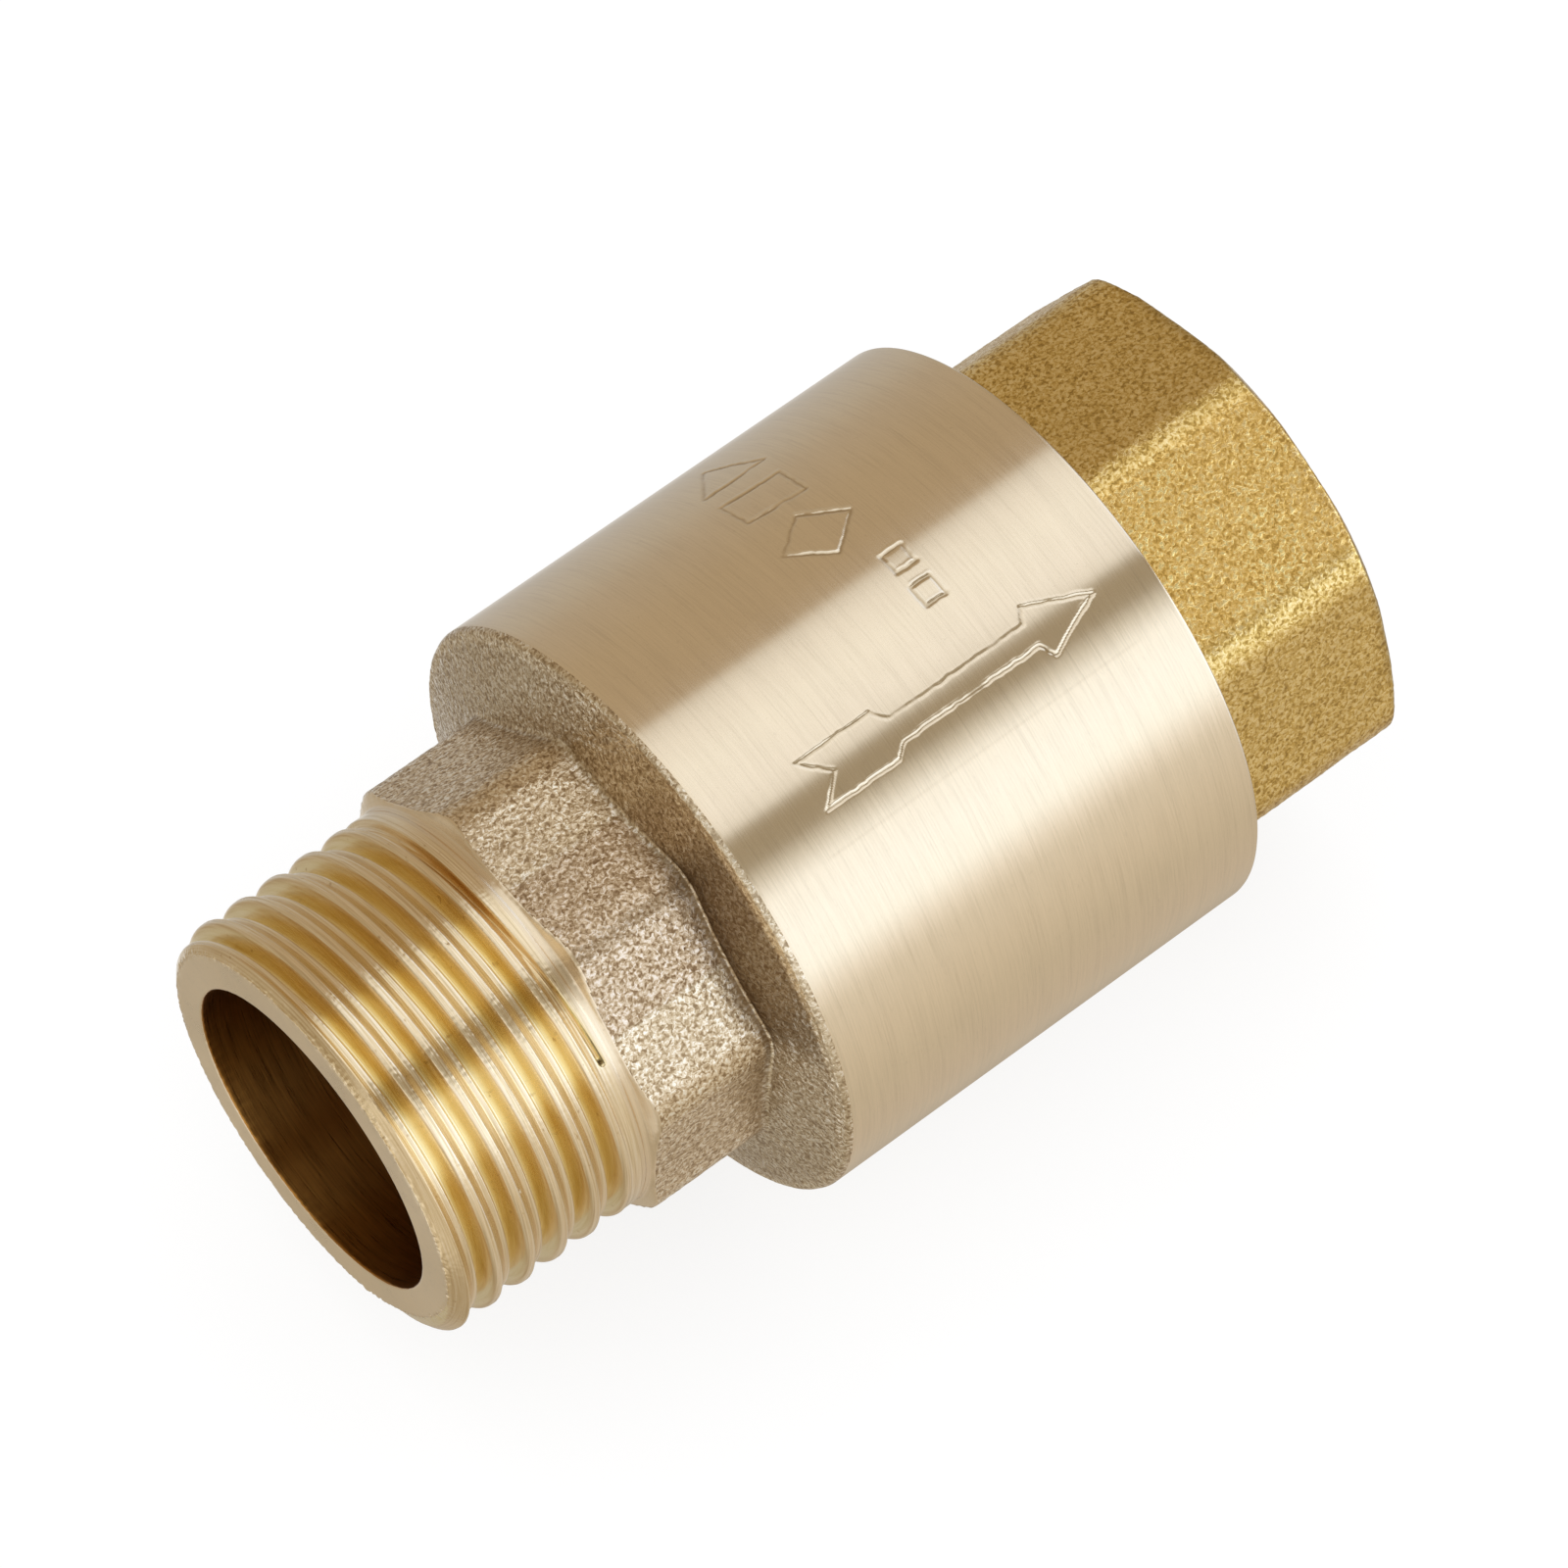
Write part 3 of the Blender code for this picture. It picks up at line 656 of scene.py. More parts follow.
def add_end_face(rows):
    """End face from the bore outwards, its rim ragged where the thread was faced off."""
    rim_r = np.minimum(np.interp(male_phase(X_IN), *MALE_PROFILE.T), start_cone(X_IN))
    rows.add(X_IN + 0.10, INLET_BORE_R, BORE, ragged=0.15)
    rows.add(X_IN + 0.03, INLET_BORE_R + 0.02, FACE, ragged=0.25)
    inner_r = INLET_BORE_R + 0.08
    rows.add(X_IN, inner_r, FACE)
    for t in np.linspace(0, 1, 20)[1:-2]:
        rows.add(X_IN, inner_r + (rim_r - 0.16 - inner_r) * t, FACE)
    for inset, ragged in ((0.16, 0.10), (0.10, 0.45), (0.04, 1.0)):
        rows.add(X_IN, rim_r - inset, FACE, ragged=ragged)


def add_male_thread(rows):
    """Thread faded into the collar, with a last shallow groove that stops dead."""
    groove_x = X_IN + 9.66 + 0.33 * (THETA - 5.0) / 40.0
    groove_depth = 0.28 * window(THETA, (-70, -10), (51.0, 51.6))
    closed = 1 - smooth(51.2, 51.9, THETA)
    # painted shade: the end of the last groove and its lips painted nearly black, more towards
    # theta 51
    stop_dark = 0.85 * smooth(49.2, 50.6, THETA) * closed
    lip_dark = (0.66 * smooth(20, 36, THETA) + 0.22 * smooth(38, 46, THETA)) * closed
    start = [X_IN + 0.02]
    for x in np.concatenate([start, np.arange(X_IN + 0.055, X_NECK - 0.33, 0.036)]):
        phase = male_phase(x)
        thread_r = np.interp(phase, *MALE_PROFILE.T)
        lead_r = start_cone(x)
        tone = np.where(lead_r < thread_r, 0.35, np.interp(phase, *MALE_TONE.T))
        fade = smooth(X_COLLAR - 0.10, X_COLLAR + 0.10, x)
        r = np.minimum(thread_r, lead_r) * (1 - fade) + np.minimum(COLLAR_R, lead_r) * fade
        past = x - groove_x
        cut = groove_depth * bell(past, 0.10)
        lips = bell(past - 0.12, 0.046) + 0.8 * bell(past + 0.12, 0.042)
        stop = np.maximum(stop_dark * bell(past - 0.01, 0.11), lip_dark * lips)
        # painted highlight: the valleys painted paler between theta 31 and 60, through the
        # attribute shade
        bright = window(THETA, (31, 37), (50, 60)) * window(phase, (1.04, 1.30), (1.56, 1.64))
        deep = tone * (1 - fade) + np.clip(cut / 0.2, 0, 0.45) * fade + 2.0 * stop * fade
        rows.add(x, r - cut, THREAD, deep=deep, shade=bright * (1 - fade),
                 ragged=0.55 * (1 - smooth(0.0, 0.30, x - X_IN)))


def add_neck(rows):
    """Collar, then the octagon with its corners turned off by a cone."""
    for x in np.arange(X_NECK - 0.30, X_NECK + 0.001, 0.05):
        rows.add(x, COLLAR_R - 0.05 * bell(x - (X_NECK - 0.02), 0.07), BAND)
    end = X_SHELL - 1.28
    for x in np.arange(X_NECK + 0.06, end, 0.076):
        past = x - X_NECK
        cone_r = COLLAR_R - 0.02 + max(0.0, past - 0.22) * 2.0
        turned = cone_r < NECK_R
        edge = (1 - smooth(0.0, 0.16, cone_r - NECK_R)) * ~turned
        # painted shade: darker towards the shoulder, most where FACING is 1, and darker along
        # the edge where the cast meets the turned cone
        shade = (-smooth(end - 1.60, end + 0.15, x) ** 2.2
                 * (0.24 + 0.50 * FACING * (1 - smooth(60, 72, THETA)))
                 - 0.55 * edge * (1 - smooth(0.8, 1.1, past)))
        rows.add(x, np.minimum(NECK_R, cone_r), np.where(turned, BAND, CAST), shade=shade,
                 grain=0.25 * (x > X_NECK + 0.1) + 0.75 * smooth(0.0, 0.25, past) * ~turned)


def shoulder_x(r):
    """The slightly conical shoulder leans back 1 mm over 3.97 mm of radius."""
    return X_SHELL - 1.0 + (r - 11.0) * (1.0 / 3.97)


RIM_R = TURNED_R - 0.32              # where the shoulder starts to roll over


def add_shoulder(rows):
    """Fillet out of the neck, the shoulder, and its rim rolled on to the chamber."""
    fillet_r = 0.30
    start_r = NECK_R + fillet_r
    # painted light in the fillet: a broken bright line along it between theta -16 and 96, a
    # painted highlight, and painted shade around the line, most where FACING is 1
    along = np.stack([THETA, 0 * THETA, 0 * THETA], -1)
    gleam = np.clip(0.85 + 0.60 * noise3(along * 0.55, 91) + 0.40 * noise3(along * 1.7, 92),
                    0.15, 1.15)
    lit = window(THETA, (-16, 4), (78, 96))
    for k in range(1, 7):
        turn = math.radians(90 * k / 7)
        line = bell(k - 4.6, 0.75) * gleam
        rows.add(shoulder_x(start_r) - fillet_r + fillet_r * math.sin(turn),
                 NECK_R + fillet_r * (1 - math.cos(turn)), CAST, grain=0.6,
                 shade=-(0.34 + 0.66 * FACING) * (1 - line) + 0.95 * line * lit)
    steps = 46
    # painted shade on the shoulder, darkest between theta 16 and 76 and lightest between -16 and
    # 28, with a painted highlight on its rim, most where FACING is 1
    shaded = window(THETA, (16, 28), (64, 76))
    clear = window(THETA, (-16, -2), (18, 28))
    for k in range(1, steps):
        t = k / steps
        r = start_r + (RIM_R - start_r) * t
        rim = smooth(0.86, 0.97, t)
        shade = -(0.26 - 0.20 * clear + 0.60 * shaded) * (1 - 0.25 * t) * (1 - rim)
        rows.add(shoulder_x(r), r, CAST, grain=1.35 + 0.5 * rim,
                 shade=shade + 0.34 * rim * (0.3 + 0.7 * FACING) - 0.10 * rim * (1 - FACING))
    # the rolled rim painted lighter, most where FACING is 1: a painted highlight
    for k in range(6):
        turn = math.radians(90 * k / 6)
        rows.add(shoulder_x(RIM_R) + 0.28 * (1 - math.cos(turn)),
                 RIM_R + 0.28 * math.sin(turn), CAST, grain=1.3 - 0.18 * k,
                 shade=0.30 * (0.2 + 0.8 * FACING))


def add_chamber(rows):
    """Turned chamber, closer rows where the marks are, and its open mouth."""
    fine_from, fine_to = X_IN + 22.6, X_IN + 39.4
    for start, end, step in ((shoulder_x(RIM_R) + 0.32, fine_from, 0.18),
                             (fine_from, fine_to, 0.082), (fine_to, X_MOUTH - 0.16, 0.22)):
        for x in np.arange(start, end, step):
            rows.add(x, TURNED_R, SHELL)
    for back, inset in ((0.14, 0), (0.10, 0.01), (0.02, 0.09), (0, 0.16)):
        rows.add(X_MOUTH - back, TURNED_R - inset, SHELL)
    for r in np.linspace(SHELL_R - 0.3, 13.3, 8):
        rows.add(X_MOUTH, r, FACE)


def add_inside(rows):
    """Bored inside, from the mouth to the inlet."""
    corners = [             # x, r, edge radius
        (X_MOUTH, 13.2, 0), (X_MOUTH - 0.6, 12.62, 0.05), (11.75, 12.62, 0.05),
        (11.6, CHAMBER_BORE_R, 0.05), (-6.2, CHAMBER_BORE_R, 0.4), (-6.2, 8.25, 0.25),
        (-5.0, 8.0, 0.12), (-5.0, 7.0, 0.10), (-7.5, 7.0, 0.4), (-8.4, INLET_BORE_R, 0.4),
        (X_IN + 0.2, INLET_BORE_R, 0)]
    for x, r in dense(rounded_path(corners, 3), 0.9):
        rows.add(x, r, BORE)


body_rows = Rows(THETA)
for add_part in (add_end_face, add_male_thread, add_neck, add_shoulder, add_chamber, add_inside):
    add_part(body_rows)
body = body_rows.stacked()
body.mark = np.zeros(body.r.shape)   # filled by body_relief: 1 groove, -1 burr


def segment_distance(x, y, start, end):
    dx, dy = end[0] - start[0], end[1] - start[1]
    t = np.clip(((x - start[0]) * dx + (y - start[1]) * dy) / (dx * dx + dy * dy), 0, 1)
    return np.hypot(x - start[0] - t * dx, y - start[1] - t * dy)


def ngon(x, arc, radius, sides, turn=0.0, stretch=1.0):
    angles = [turn + 2 * math.pi * k / sides for k in range(sides)]
    return [(x + radius * stretch * math.cos(a), arc + radius * math.sin(a)) for a in angles]


# outlines left where raised marks were turned flush: a flow arrow, and a row of
# plain shapes; unrolled as (x, arc) with the arc on the chamber
ARROW = [(12.85, 6.62), (9.75, 5.32), (9.35, 6.02), (1.75, 6.02), (1.15, 5.30), (-2.95, 5.30),
         (-1.65, 6.55), (-2.95, 7.75), (1.15, 7.75), (1.75, 7.20), (9.45, 7.20), (9.85, 7.95)]
ARROW_STRENGTHS = (0.85, 0.75, 0.22, 0.45, 0.75, 0.75, 1.0, 1.0, 0.85, 0.60, 1.0, 1.0)
SHAPES = [
    ngon(5.15, -10.5, 1.95, 3, turn=0.52),
    [(3.45, -8.07), (6.55, -7.83), (6.55, -5.73), (3.45, -5.97)],
    ngon(5.1, -3.1, 1.55, 4, stretch=1.25),
    ngon(6.9, 0.35, 0.78, 4, turn=0.785),
    ngon(6.9, 2.35, 0.78, 4, turn=0.785)]


def scribed_marks(x, arc):
    """Grooves and burrs of the marks, each 0 to 1, at places on the chamber."""
    place = np.stack([x, arc, 0 * x], -1)
    x = x + layered(place, (0.07, 0.9, 11), (0.045, 0.33, 12))
    arc = arc + layered(place, (0.07, 0.9, 21), (0.045, 0.33, 22))
    blend = layered(place, (0.75, 1.3, 31), (0.50, 0.45, 32))
    groove, burr = np.zeros(x.shape), np.zeros(x.shape)

    def scribe(start, end, strength, least, wide=1.0):
        """One edge of an outline: a fine crease with a burr along one side of it."""
        vary = min(1.0, 0.25 + 0.8 * strength)
        amount = np.clip(strength + vary * blend, least, 1.0)
        near = segment_distance(x, arc, start, end)
        off = segment_distance(x - 0.055 * wide, arc + 0.085 * wide, start, end)
        np.maximum(groove, amount * bell(near, 0.058 * wide), out=groove)
        np.maximum(burr, amount * bell(off, 0.052 * wide), out=burr)

    for start, end, strength in zip(ARROW, ARROW[1:] + ARROW[:1], ARROW_STRENGTHS):
        scribe(start, end, strength, least=0.08)
    for outline in SHAPES:
        for start, end in zip(outline, outline[1:] + outline[:1]):
            scribe(start, end, 0.95, least=0.55, wide=1.45)
    return groove, np.maximum(burr - 0.6 * groove, 0)


def body_relief(points, normals):
    """Displacement: cast grain, thread nicks, the marks and the ragged edge."""
    height = np.zeros(body.x.shape)
    cast = body.grain > 0
    grain = layered(points[cast], (0.60, 0.21, 3), (0.65, 0.42, 5), (0.55, 1.3, 7)) - 0.45
    height[cast] = 0.025 * body.grain[cast] * grain

    # small nicks and raised burrs on the thread's crests
    crest = (body.tag == THREAD) & (body.deep < 0.45)
    nick = noise3(points[crest] * np.array([1.0, 0.55, 0.55]) / 0.34, 61)
    height[crest] += (-0.060 * smooth(0.70, 0.90, nick)
                      + 0.005 * noise3(points[crest] / 0.20, 62))

    arc = np.broadcast_to(np.radians(THETA) * SHELL_R, body.x.shape)
    marked = ((body.tag == SHELL) & (body.x > X_IN + 22.0) & (body.x < X_IN + 39.8)
              & (arc > -14) & (arc < 9.5))
    groove, burr = scribed_marks(body.x[marked], arc[marked])
    height[marked] += -0.052 * groove + 0.022 * burr - 0.002
    body.mark[marked] = np.clip(0.95 * groove - 0.75 * burr, -1, 1)
    move = normals * height[..., None]

    # ragged edge where the thread was faced off
    ragged = body.ragged > 0
    place = points[ragged]
    amount = body.ragged[ragged]
    along, outward = noise3(place / 0.20, 71), noise3(place / 0.20, 72)
    move[ragged, 0] += 0.085 * amount * np.maximum(along + 0.15, 0)
    radial = place * np.array([0.0, 1.0, 1.0])
    radial /= np.linalg.norm(radial, axis=-1, keepdims=True)
    move[ragged] += radial * (0.090 * amount * outward)[:, None]
    return move


# painted light and shade: the neck a little brighter, and one flat of it painted darker
neck_painted_light = np.where(body.x < X_SHELL - 1.3,
                     0.25 - 1.25 * window(THETA, (2, 5), (46, 49)), 0.0)
stand_in(skin("inlet_body_skin", body, THETA,
              [bronze_casting, face_brass, thread_brass, band_brass, bore_brass, shell_brass],
              body_relief, {"deep": body.deep, "shade": body.shade, "mark": body.mark,
                            "lift": neck_painted_light}),
         "valve_body")

# ------------------------------------------------------------- outlet cap skin
THETA_CAP = angle_grid(720, -60, 110, 1.25)
CAP_CAST, CAP_TURNED, CAP_INNER, CAP_THREAD = range(4)      # material slots
OFF_AXIS, OFF_AT = 0.30, 115.35      # the forged octagon's centre off the turned axis


def female_thread(x):
    """Standard 55 degree form seen from inside: radius of the wall."""
    phase = np.mod(x - PITCH * THETA_CAP / 360.0, PITCH) / PITCH
    rise = np.abs(phase - 0.5) * 2                 # 0 at the crest, 1 at the root
    t = np.clip((rise - 0.16) / 0.68, 0, 1)
    t = t * t * (3 - 2 * t) * 0.35 + t * 0.65
    return G_MINOR + (G_MAJOR - G_MINOR) * t


def cap_octagon():
    """Polar radius of the forged octagon, seen from the turned axis."""
    def octagon(theta):
        return rounded_octagon(theta, 12.2, 2.8, 6.65)

    off, turn = math.radians(OFF_AT), np.radians(THETA_CAP)
    r = octagon(THETA_CAP)
    for _ in range(4):                             # fixed-point iteration
        side = r * np.sin(turn) - OFF_AXIS * math.sin(off)
        up = r * np.cos(turn) - OFF_AXIS * math.cos(off)
        r = r * octagon(np.degrees(np.arctan2(side, up))) / np.hypot(side, up)
    return r


def rolled_off(r, x):
    """The corners rolled off towards the outlet face, by a cone, with a soft edge."""
    away = window(THETA_CAP, (70, 100), (150, 180))
    cone = (12.05 + 0.15 * np.cos(np.radians(THETA_CAP - OFF_AT)) + 0.35 * away
            + (X_OUT - x) * 1.8)
    return -0.07 * np.log(np.exp(-r / 0.07) + np.exp(-cone / 0.07))


def add_plug(rows):
    """The part inside the chamber, with its seal groove."""
    corners = [             # x, r, edge radius
        (X_NOSE, 10.0, 0), (X_NOSE, 11.9, 0.35), (9.3, 11.9, 0.05), (9.3, 11.0, 0.08),
        (11.3, 11.0, 0.08), (11.3, 11.9, 0.05), (11.9, 11.9, 0.05), (12.2, 12.5, 0.05),
        (X_CAP - 0.3, 12.5, 0)]
    for x, r in dense(rounded_path(corners, 3), 0.8):
        rows.add(x, r, CAP_TURNED)


def add_octagon(rows):
    """Forged octagon and the outlet face."""
    octagon_r = cap_octagon()
    rows.add(X_CAP - 0.02, np.minimum(octagon_r, 12.75) - 0.30, CAP_TURNED)
    # painted shade: darker at the seat against the body, towards the outlet face and on the
    # rolled edge
    rows.add(X_CAP, np.minimum(octagon_r, 12.8) - 0.10, CAP_CAST, grain=0.3, shade=-0.5)
    start = [X_CAP + 0.04]
    for x in np.concatenate([start, np.arange(X_CAP + 0.12, X_OUT - 0.40, 0.090)]):
        lead_r = 12.85 + (x - X_CAP) * 1.1
        rows.add(x, rolled_off(np.minimum(octagon_r, lead_r), x), CAP_CAST, grain=1.0,
                 shade=-0.45 * (1 - smooth(0.0, 0.35, x - X_CAP))
                 - 0.22 * smooth(X_OUT - 0.7, X_OUT - 0.40, x))
    # edge rolled over at the face, most on the flats that the die closed on
    drop = 0.10 + 0.24 * window(THETA_CAP, (-60, -35), (72, 90))
    for k in range(9):
        turn = k / 8.0 * math.pi / 2
        x = X_OUT - 0.40 + 0.395 * math.sin(turn)
        edge_r = rolled_off(octagon_r - drop * (1 - math.cos(turn)), x)
        rows.add(x, edge_r, CAP_CAST if k < 8 else CAP_INNER, grain=1 - k / 8.0 * 0.6,
                 shade=-0.25)
    for t in np.linspace(0, 1, 12)[1:]:
        rows.add(X_OUT, (edge_r - 0.06) * (1 - t) + 11.05 * t, CAP_INNER)
    rows.add(X_OUT - 0.02, 10.98, CAP_INNER)


def add_socket(rows):
    """Socket with its helical thread, then the bore back to the nose."""
    socket_r = G_MAJOR - 0.05
    for x in np.arange(X_OUT - 0.08, 14.8, -0.085):
        fade = smooth(15.5, 15.0, x)
        r = np.maximum(female_thread(x), 10.95 - (X_OUT - x) * 1.2)
        r = r * (1 - fade) + socket_r * fade
        rows.add(x, r, CAP_THREAD, deep=smooth(9.5, 10.1, r))
    corners = [             # x, r, edge radius
        (14.62, socket_r, 0), (14.6, 8.6, 0.15), (11.4, 8.6, 0.06), (11.4, 9.6, 0.05),
        (8.5, 9.6, 0.03), (8.5, 10.2, 0.03), (7.6, 10.2, 0.03), (7.6, 9.6, 0.03),
        (X_NOSE + 0.35, 9.6, 0.05), (X_NOSE + 0.02, 9.9, 0)]
    *bore, closing = dense(rounded_path(corners, 3), 0.8)
    for x, r in bore:
        rows.add(x, r, CAP_INNER)
    rows.add(*closing, CAP_TURNED)


cap_rows = Rows(THETA_CAP)
for add_part in (add_plug, add_octagon, add_socket):
    add_part(cap_rows)
cap = cap_rows.stacked()


def cap_relief(points, normals):
    """Displacement: cast grain."""
    height = np.zeros(cap.x.shape)
    cast = cap.grain > 0
    grain = layered(points[cast], (0.60, 0.22, 43), (0.50, 0.42, 45), (0.8, 1.7, 47)) - 0.4
    height[cast] = 0.032 * cap.grain[cast] * grain
    return normals * height[..., None]


cap_painted_light = 0 * cap.x + window(THETA_CAP, (8, 13), (45, 50))     # one flat painted brighter, a painted highlight
stand_in(skin("outlet_cap_skin", cap, THETA_CAP,
              [yellow_casting, yellow_turned, yellow_turned, yellow_thread],
              cap_relief, {"deep": cap.deep, "shade": cap.shade, "lift": cap_painted_light}),
         "valve_body")

# ------------------------------------------------------------ inner pieces
# turned pieces are given by corners of (x, r, edge radius)
WIRE_R = 0.35                        # return spring
COIL_R = 4.3
STEM_R = 1.5

# rubber ring in the cap's groove
turn = np.arange(24) * 2 * math.pi / 24
o_ring = grid_piece("cap_o_ring_skin", (10.3 + 0.45 * np.cos(turn))[:, None],
                    (11.5 + 0.45 * np.sin(turn))[:, None] * np.ones(160),
                    np.arange(160) * 2.25, rubber, crease=80)
stand_in(o_ring, "valve_body")

# poppet: disc with its lip, boss and bore
disc = lathe("poppet_disc_skin", [
    (-4.9, 1.58, 0.04), (-4.9, 3.0, 0.06), (-2.95, 3.0, 0.05), (-2.95, 9.15, 0.05),
    (-3.9, 9.15, 0.06), (-3.9, 9.45, 0.07), (-3.55, 9.6, 0.08), (-1.5, 9.6, 0.12),
    (-1.1, 9.2, 0.15), (-1.1, 3.2, 0.28), (3.8, 3.2, 0.12), (4.1, 2.9, 0.05),
    (4.1, 2.5, 0.05), (1.0, 2.5, 0.05), (1.0, 1.58, 0.04)],
    128, poppet_brass, steps=4, step=0.6)
stand_in(disc, "poppet")

seal = lathe("seal_ring_skin", [
    (-4.95, 3.08, 0.08), (-4.95, 8.85, 0.18), (-4.7, 9.0, 0.12), (-3.02, 9.0, 0.12),
    (-3.02, 3.08, 0.08)], 128, rubber, steps=4, step=0.6)
stand_in(seal, "poppet")

retainer = lathe("seal_retainer_skin", [
    (-6.0, 1.62, 0.06), (-6.0, 5.95, 0.20), (-5.72, 6.4, 0.22), (-5.02, 6.4, 0.10),
    (-5.02, 1.62, 0.06)], 96, pressed_steel, steps=4, step=0.5)
stand_in(retainer, "poppet")


def stem_thread(xs, rs, theta):
    """M3 thread on the upstream end, pitch 0.5 mm, running out before the disc."""
    phase = np.mod(xs - 0.5 * theta / 360.0, 0.5) / 0.5
    groove = np.clip(1 - np.abs(phase - 0.5) / 0.42, 0, 1)
    amount = window(xs, (-9.75, -9.35), (-5.3, -4.8))
    return rs - 0.27 * groove * amount * (rs > 1.0)


stem = lathe("poppet_stem_skin", [
    (-9.8, 0, 0), (-9.8, 1.15, 0.08), (-9.45, STEM_R, 0.08), (1.06, STEM_R, 0.03),
    (1.06, 2.42, 0.08), (4.0, 2.42, 0.10), (4.0, STEM_R, 0.05), (13.72, STEM_R, 0.08),
    (14.1, 1.12, 0.08), (14.1, 0, 0)], 48, ground_steel,
    step=lambda x, r: 0.05 if x < -4.7 and r > 1.1 else 0.5, shape=stem_thread)
stand_in(stem, "poppet")

# spring washer: square section, split at theta = 35
lock = swept_ring("lock_washer_skin", [
    (-6.55, 1.62), (-6.60, 1.68), (-6.60, 2.69), (-6.54, 2.75), (-6.14, 2.75),
    (-6.08, 2.69), (-6.08, 1.68), (-6.13, 1.62)],
    np.linspace(35 + 6.3, 35 + 353.7, 97), pressed_steel)
stand_in(lock, "poppet")


def nut_shape(xs, rs, theta):
    """Hexagon 5.5 mm across flats, its corners turned off at both faces."""
    hexagon = 2.75 / np.cos(np.radians(theta % 60.0 - 30.0))
    cone = np.minimum(2.66 + (xs + 9.05) * 1.7, 2.66 + (-6.65 - xs) * 1.7)
    return np.where(rs > 2.0, np.minimum(np.minimum(hexagon, cone), rs), rs)


nut = lathe("stem_nut_skin", [
    (-9.05, 1.9, 0.0), (-9.05, 3.3, 0.0), (-6.65, 3.3, 0.0), (-6.65, 1.9, 0.0),
    (-6.93, 1.62, 0.0), (-8.77, 1.62, 0.0)],
    120, ground_steel, step=0.10, shape=nut_shape, crease=25.0)
stand_in(nut, "poppet")


def return_spring():
    """Coil with closed ends, ground flat at both."""
    turns, per_turn, length = 6.0, 44, 8.30
    closed_pitch = 2 * WIRE_R + 0.06
    open_pitch = (length - 2 * closed_pitch) / (turns - 2.0)
    loops = []
    for i in range(int(turns * per_turn) + 1):
        t = i / per_turn
        if t < 1.0:
            x = closed_pitch * t
        elif t > turns - 1.0:
            x = length - closed_pitch * (turns - t)
        else:
            x = closed_pitch + open_pitch * (t - 1.0)
        angle = 2 * math.pi * t
        radial = np.array([0.0, math.sin(angle), math.cos(angle)])
        centre = np.array([-0.70 + x, 0, 0]) + COIL_R * radial
        around = (2 * math.pi * np.arange(14) / 14)[:, None]
        loop = centre + WIRE_R * (np.cos(around) * radial
                                  + np.sin(around) * np.array([1.0, 0, 0]))
        loop[:, 0] = np.clip(loop[:, 0], -1.0, 7.90)
        loops.append(loop)
    return swept("return_spring_skin", loops, wire_steel, crease=60.0)


spring = stand_in(return_spring(), "valve_body")
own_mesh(spring)

washer = lathe("spring_seat_washer_skin", [
    (8.08, 3.5, 0.08), (8.08, 5.3, 0.14), (8.6, 5.3, 0.06), (8.6, 3.5, 0.06)],
    96, pressed_steel, step=0.4)
stand_in(washer, "valve_body")


def guide_arm(number):
    """Radial arm of rounded section, swelling where it meets hub and rim."""
    half_x, edge_r = 1.1, 0.25
    cos_a, sin_a = math.cos(math.radians(120 * number)), math.sin(math.radians(120 * number))
    loops = []
    # radial place, extra half width
    for out, swell in ((4.3, 0.16), (5.0, 0.10), (5.6, 0.0), (6.7, 0.0), (7.9, 0.0),
                       (8.3, 0.08), (9.0, 0.16)):
        half_y = 0.9 + swell
        loop = []
        for sign_x, sign_y, start in ((1, 1, 0), (-1, 1, 90), (-1, -1, 180), (1, -1, 270)):
            for k in range(4):
                a = math.radians(start + 30 * k)
                x = 10.0 + sign_x * (half_x - edge_r) + edge_r * math.cos(a)
                y = sign_y * (half_y - edge_r) + edge_r * math.sin(a)
                loop.append((x, y * cos_a - out * sin_a, y * sin_a + out * cos_a))
        loops.append(loop)
    return swept("arm_%d" % number, loops, acetal)


# moulded guide: rim, hub and three arms in one
guide = lathe("outlet_guide_skin", [
    (8.7, 8.4, 0.15), (8.7, 9.35, 0.12), (8.85, 9.5, 0.10), (11.35, 9.5, 0.15),
    (11.35, 8.4, 0.15)], 128, acetal)
hub = lathe("hub", [
    (8.7, 2.32, 0.08), (8.7, 5.0, 0.25), (10.6, 5.0, 0.35), (12.4, 3.6, 0.25),
    (12.4, 2.32, 0.08)], 96, acetal, steps=4)
stand_in(merged(guide, [hub] + [guide_arm(i) for i in range(3)]), "valve_body")

bush = lathe("guide_bush_skin", [
    (8.8, 1.62, 0.03), (8.8, 2.20, 0.05), (8.88, 2.26, 0.03), (12.46, 2.26, 0.03),
    (12.46, 2.95, 0.08), (13.0, 3.0, 0.12), (13.0, 1.66, 0.05), (12.9, 1.56, 0.03),
    (8.9, 1.56, 0.03)], 64, ptfe, step=0.5)
stand_in(bush, "valve_body")


def disc_bar(degrees, off, stations):
    """Round bar along X, off from the axis, degrees from straight down, from
    (x, radius) stations."""
    angle = math.radians(degrees)
    y, z = math.sin(angle) * off, -math.cos(angle) * off
    around = [2 * math.pi * k / 48 for k in range(48)]
    return swept("bar", [[(x, y + r * math.cos(a), z + r * math.sin(a)) for a in around]
                         for x, r in stations], pressed_steel)


# retaining ring, open at the bottom, with its two lugs and plier holes
clip = swept_ring("guide_circlip_skin", [
    (7.72, 8.75), (7.68, 8.80), (7.68, 10.05), (7.72, 10.1), (8.38, 10.1),
    (8.42, 10.05), (8.42, 8.80), (8.38, 8.75)],
    np.linspace(180 + 13.0, 540 - 13.0, 145), pressed_steel)
lugs, holes = [], []
for at in (-17.5, 17.5):
    lugs.append(disc_bar(at, 8.55, ((7.68, 1.1 - 0.04), (7.68 + 0.04, 1.1),
                                    (8.42 - 0.04, 1.1), (8.42, 1.1 - 0.04))))
    holes.append(disc_bar(at, 8.40, ((7.2, 0.45), (8.9, 0.45))))
clip = merged(merged(clip, lugs), holes, "DIFFERENCE")
stand_in(clip, "valve_body")


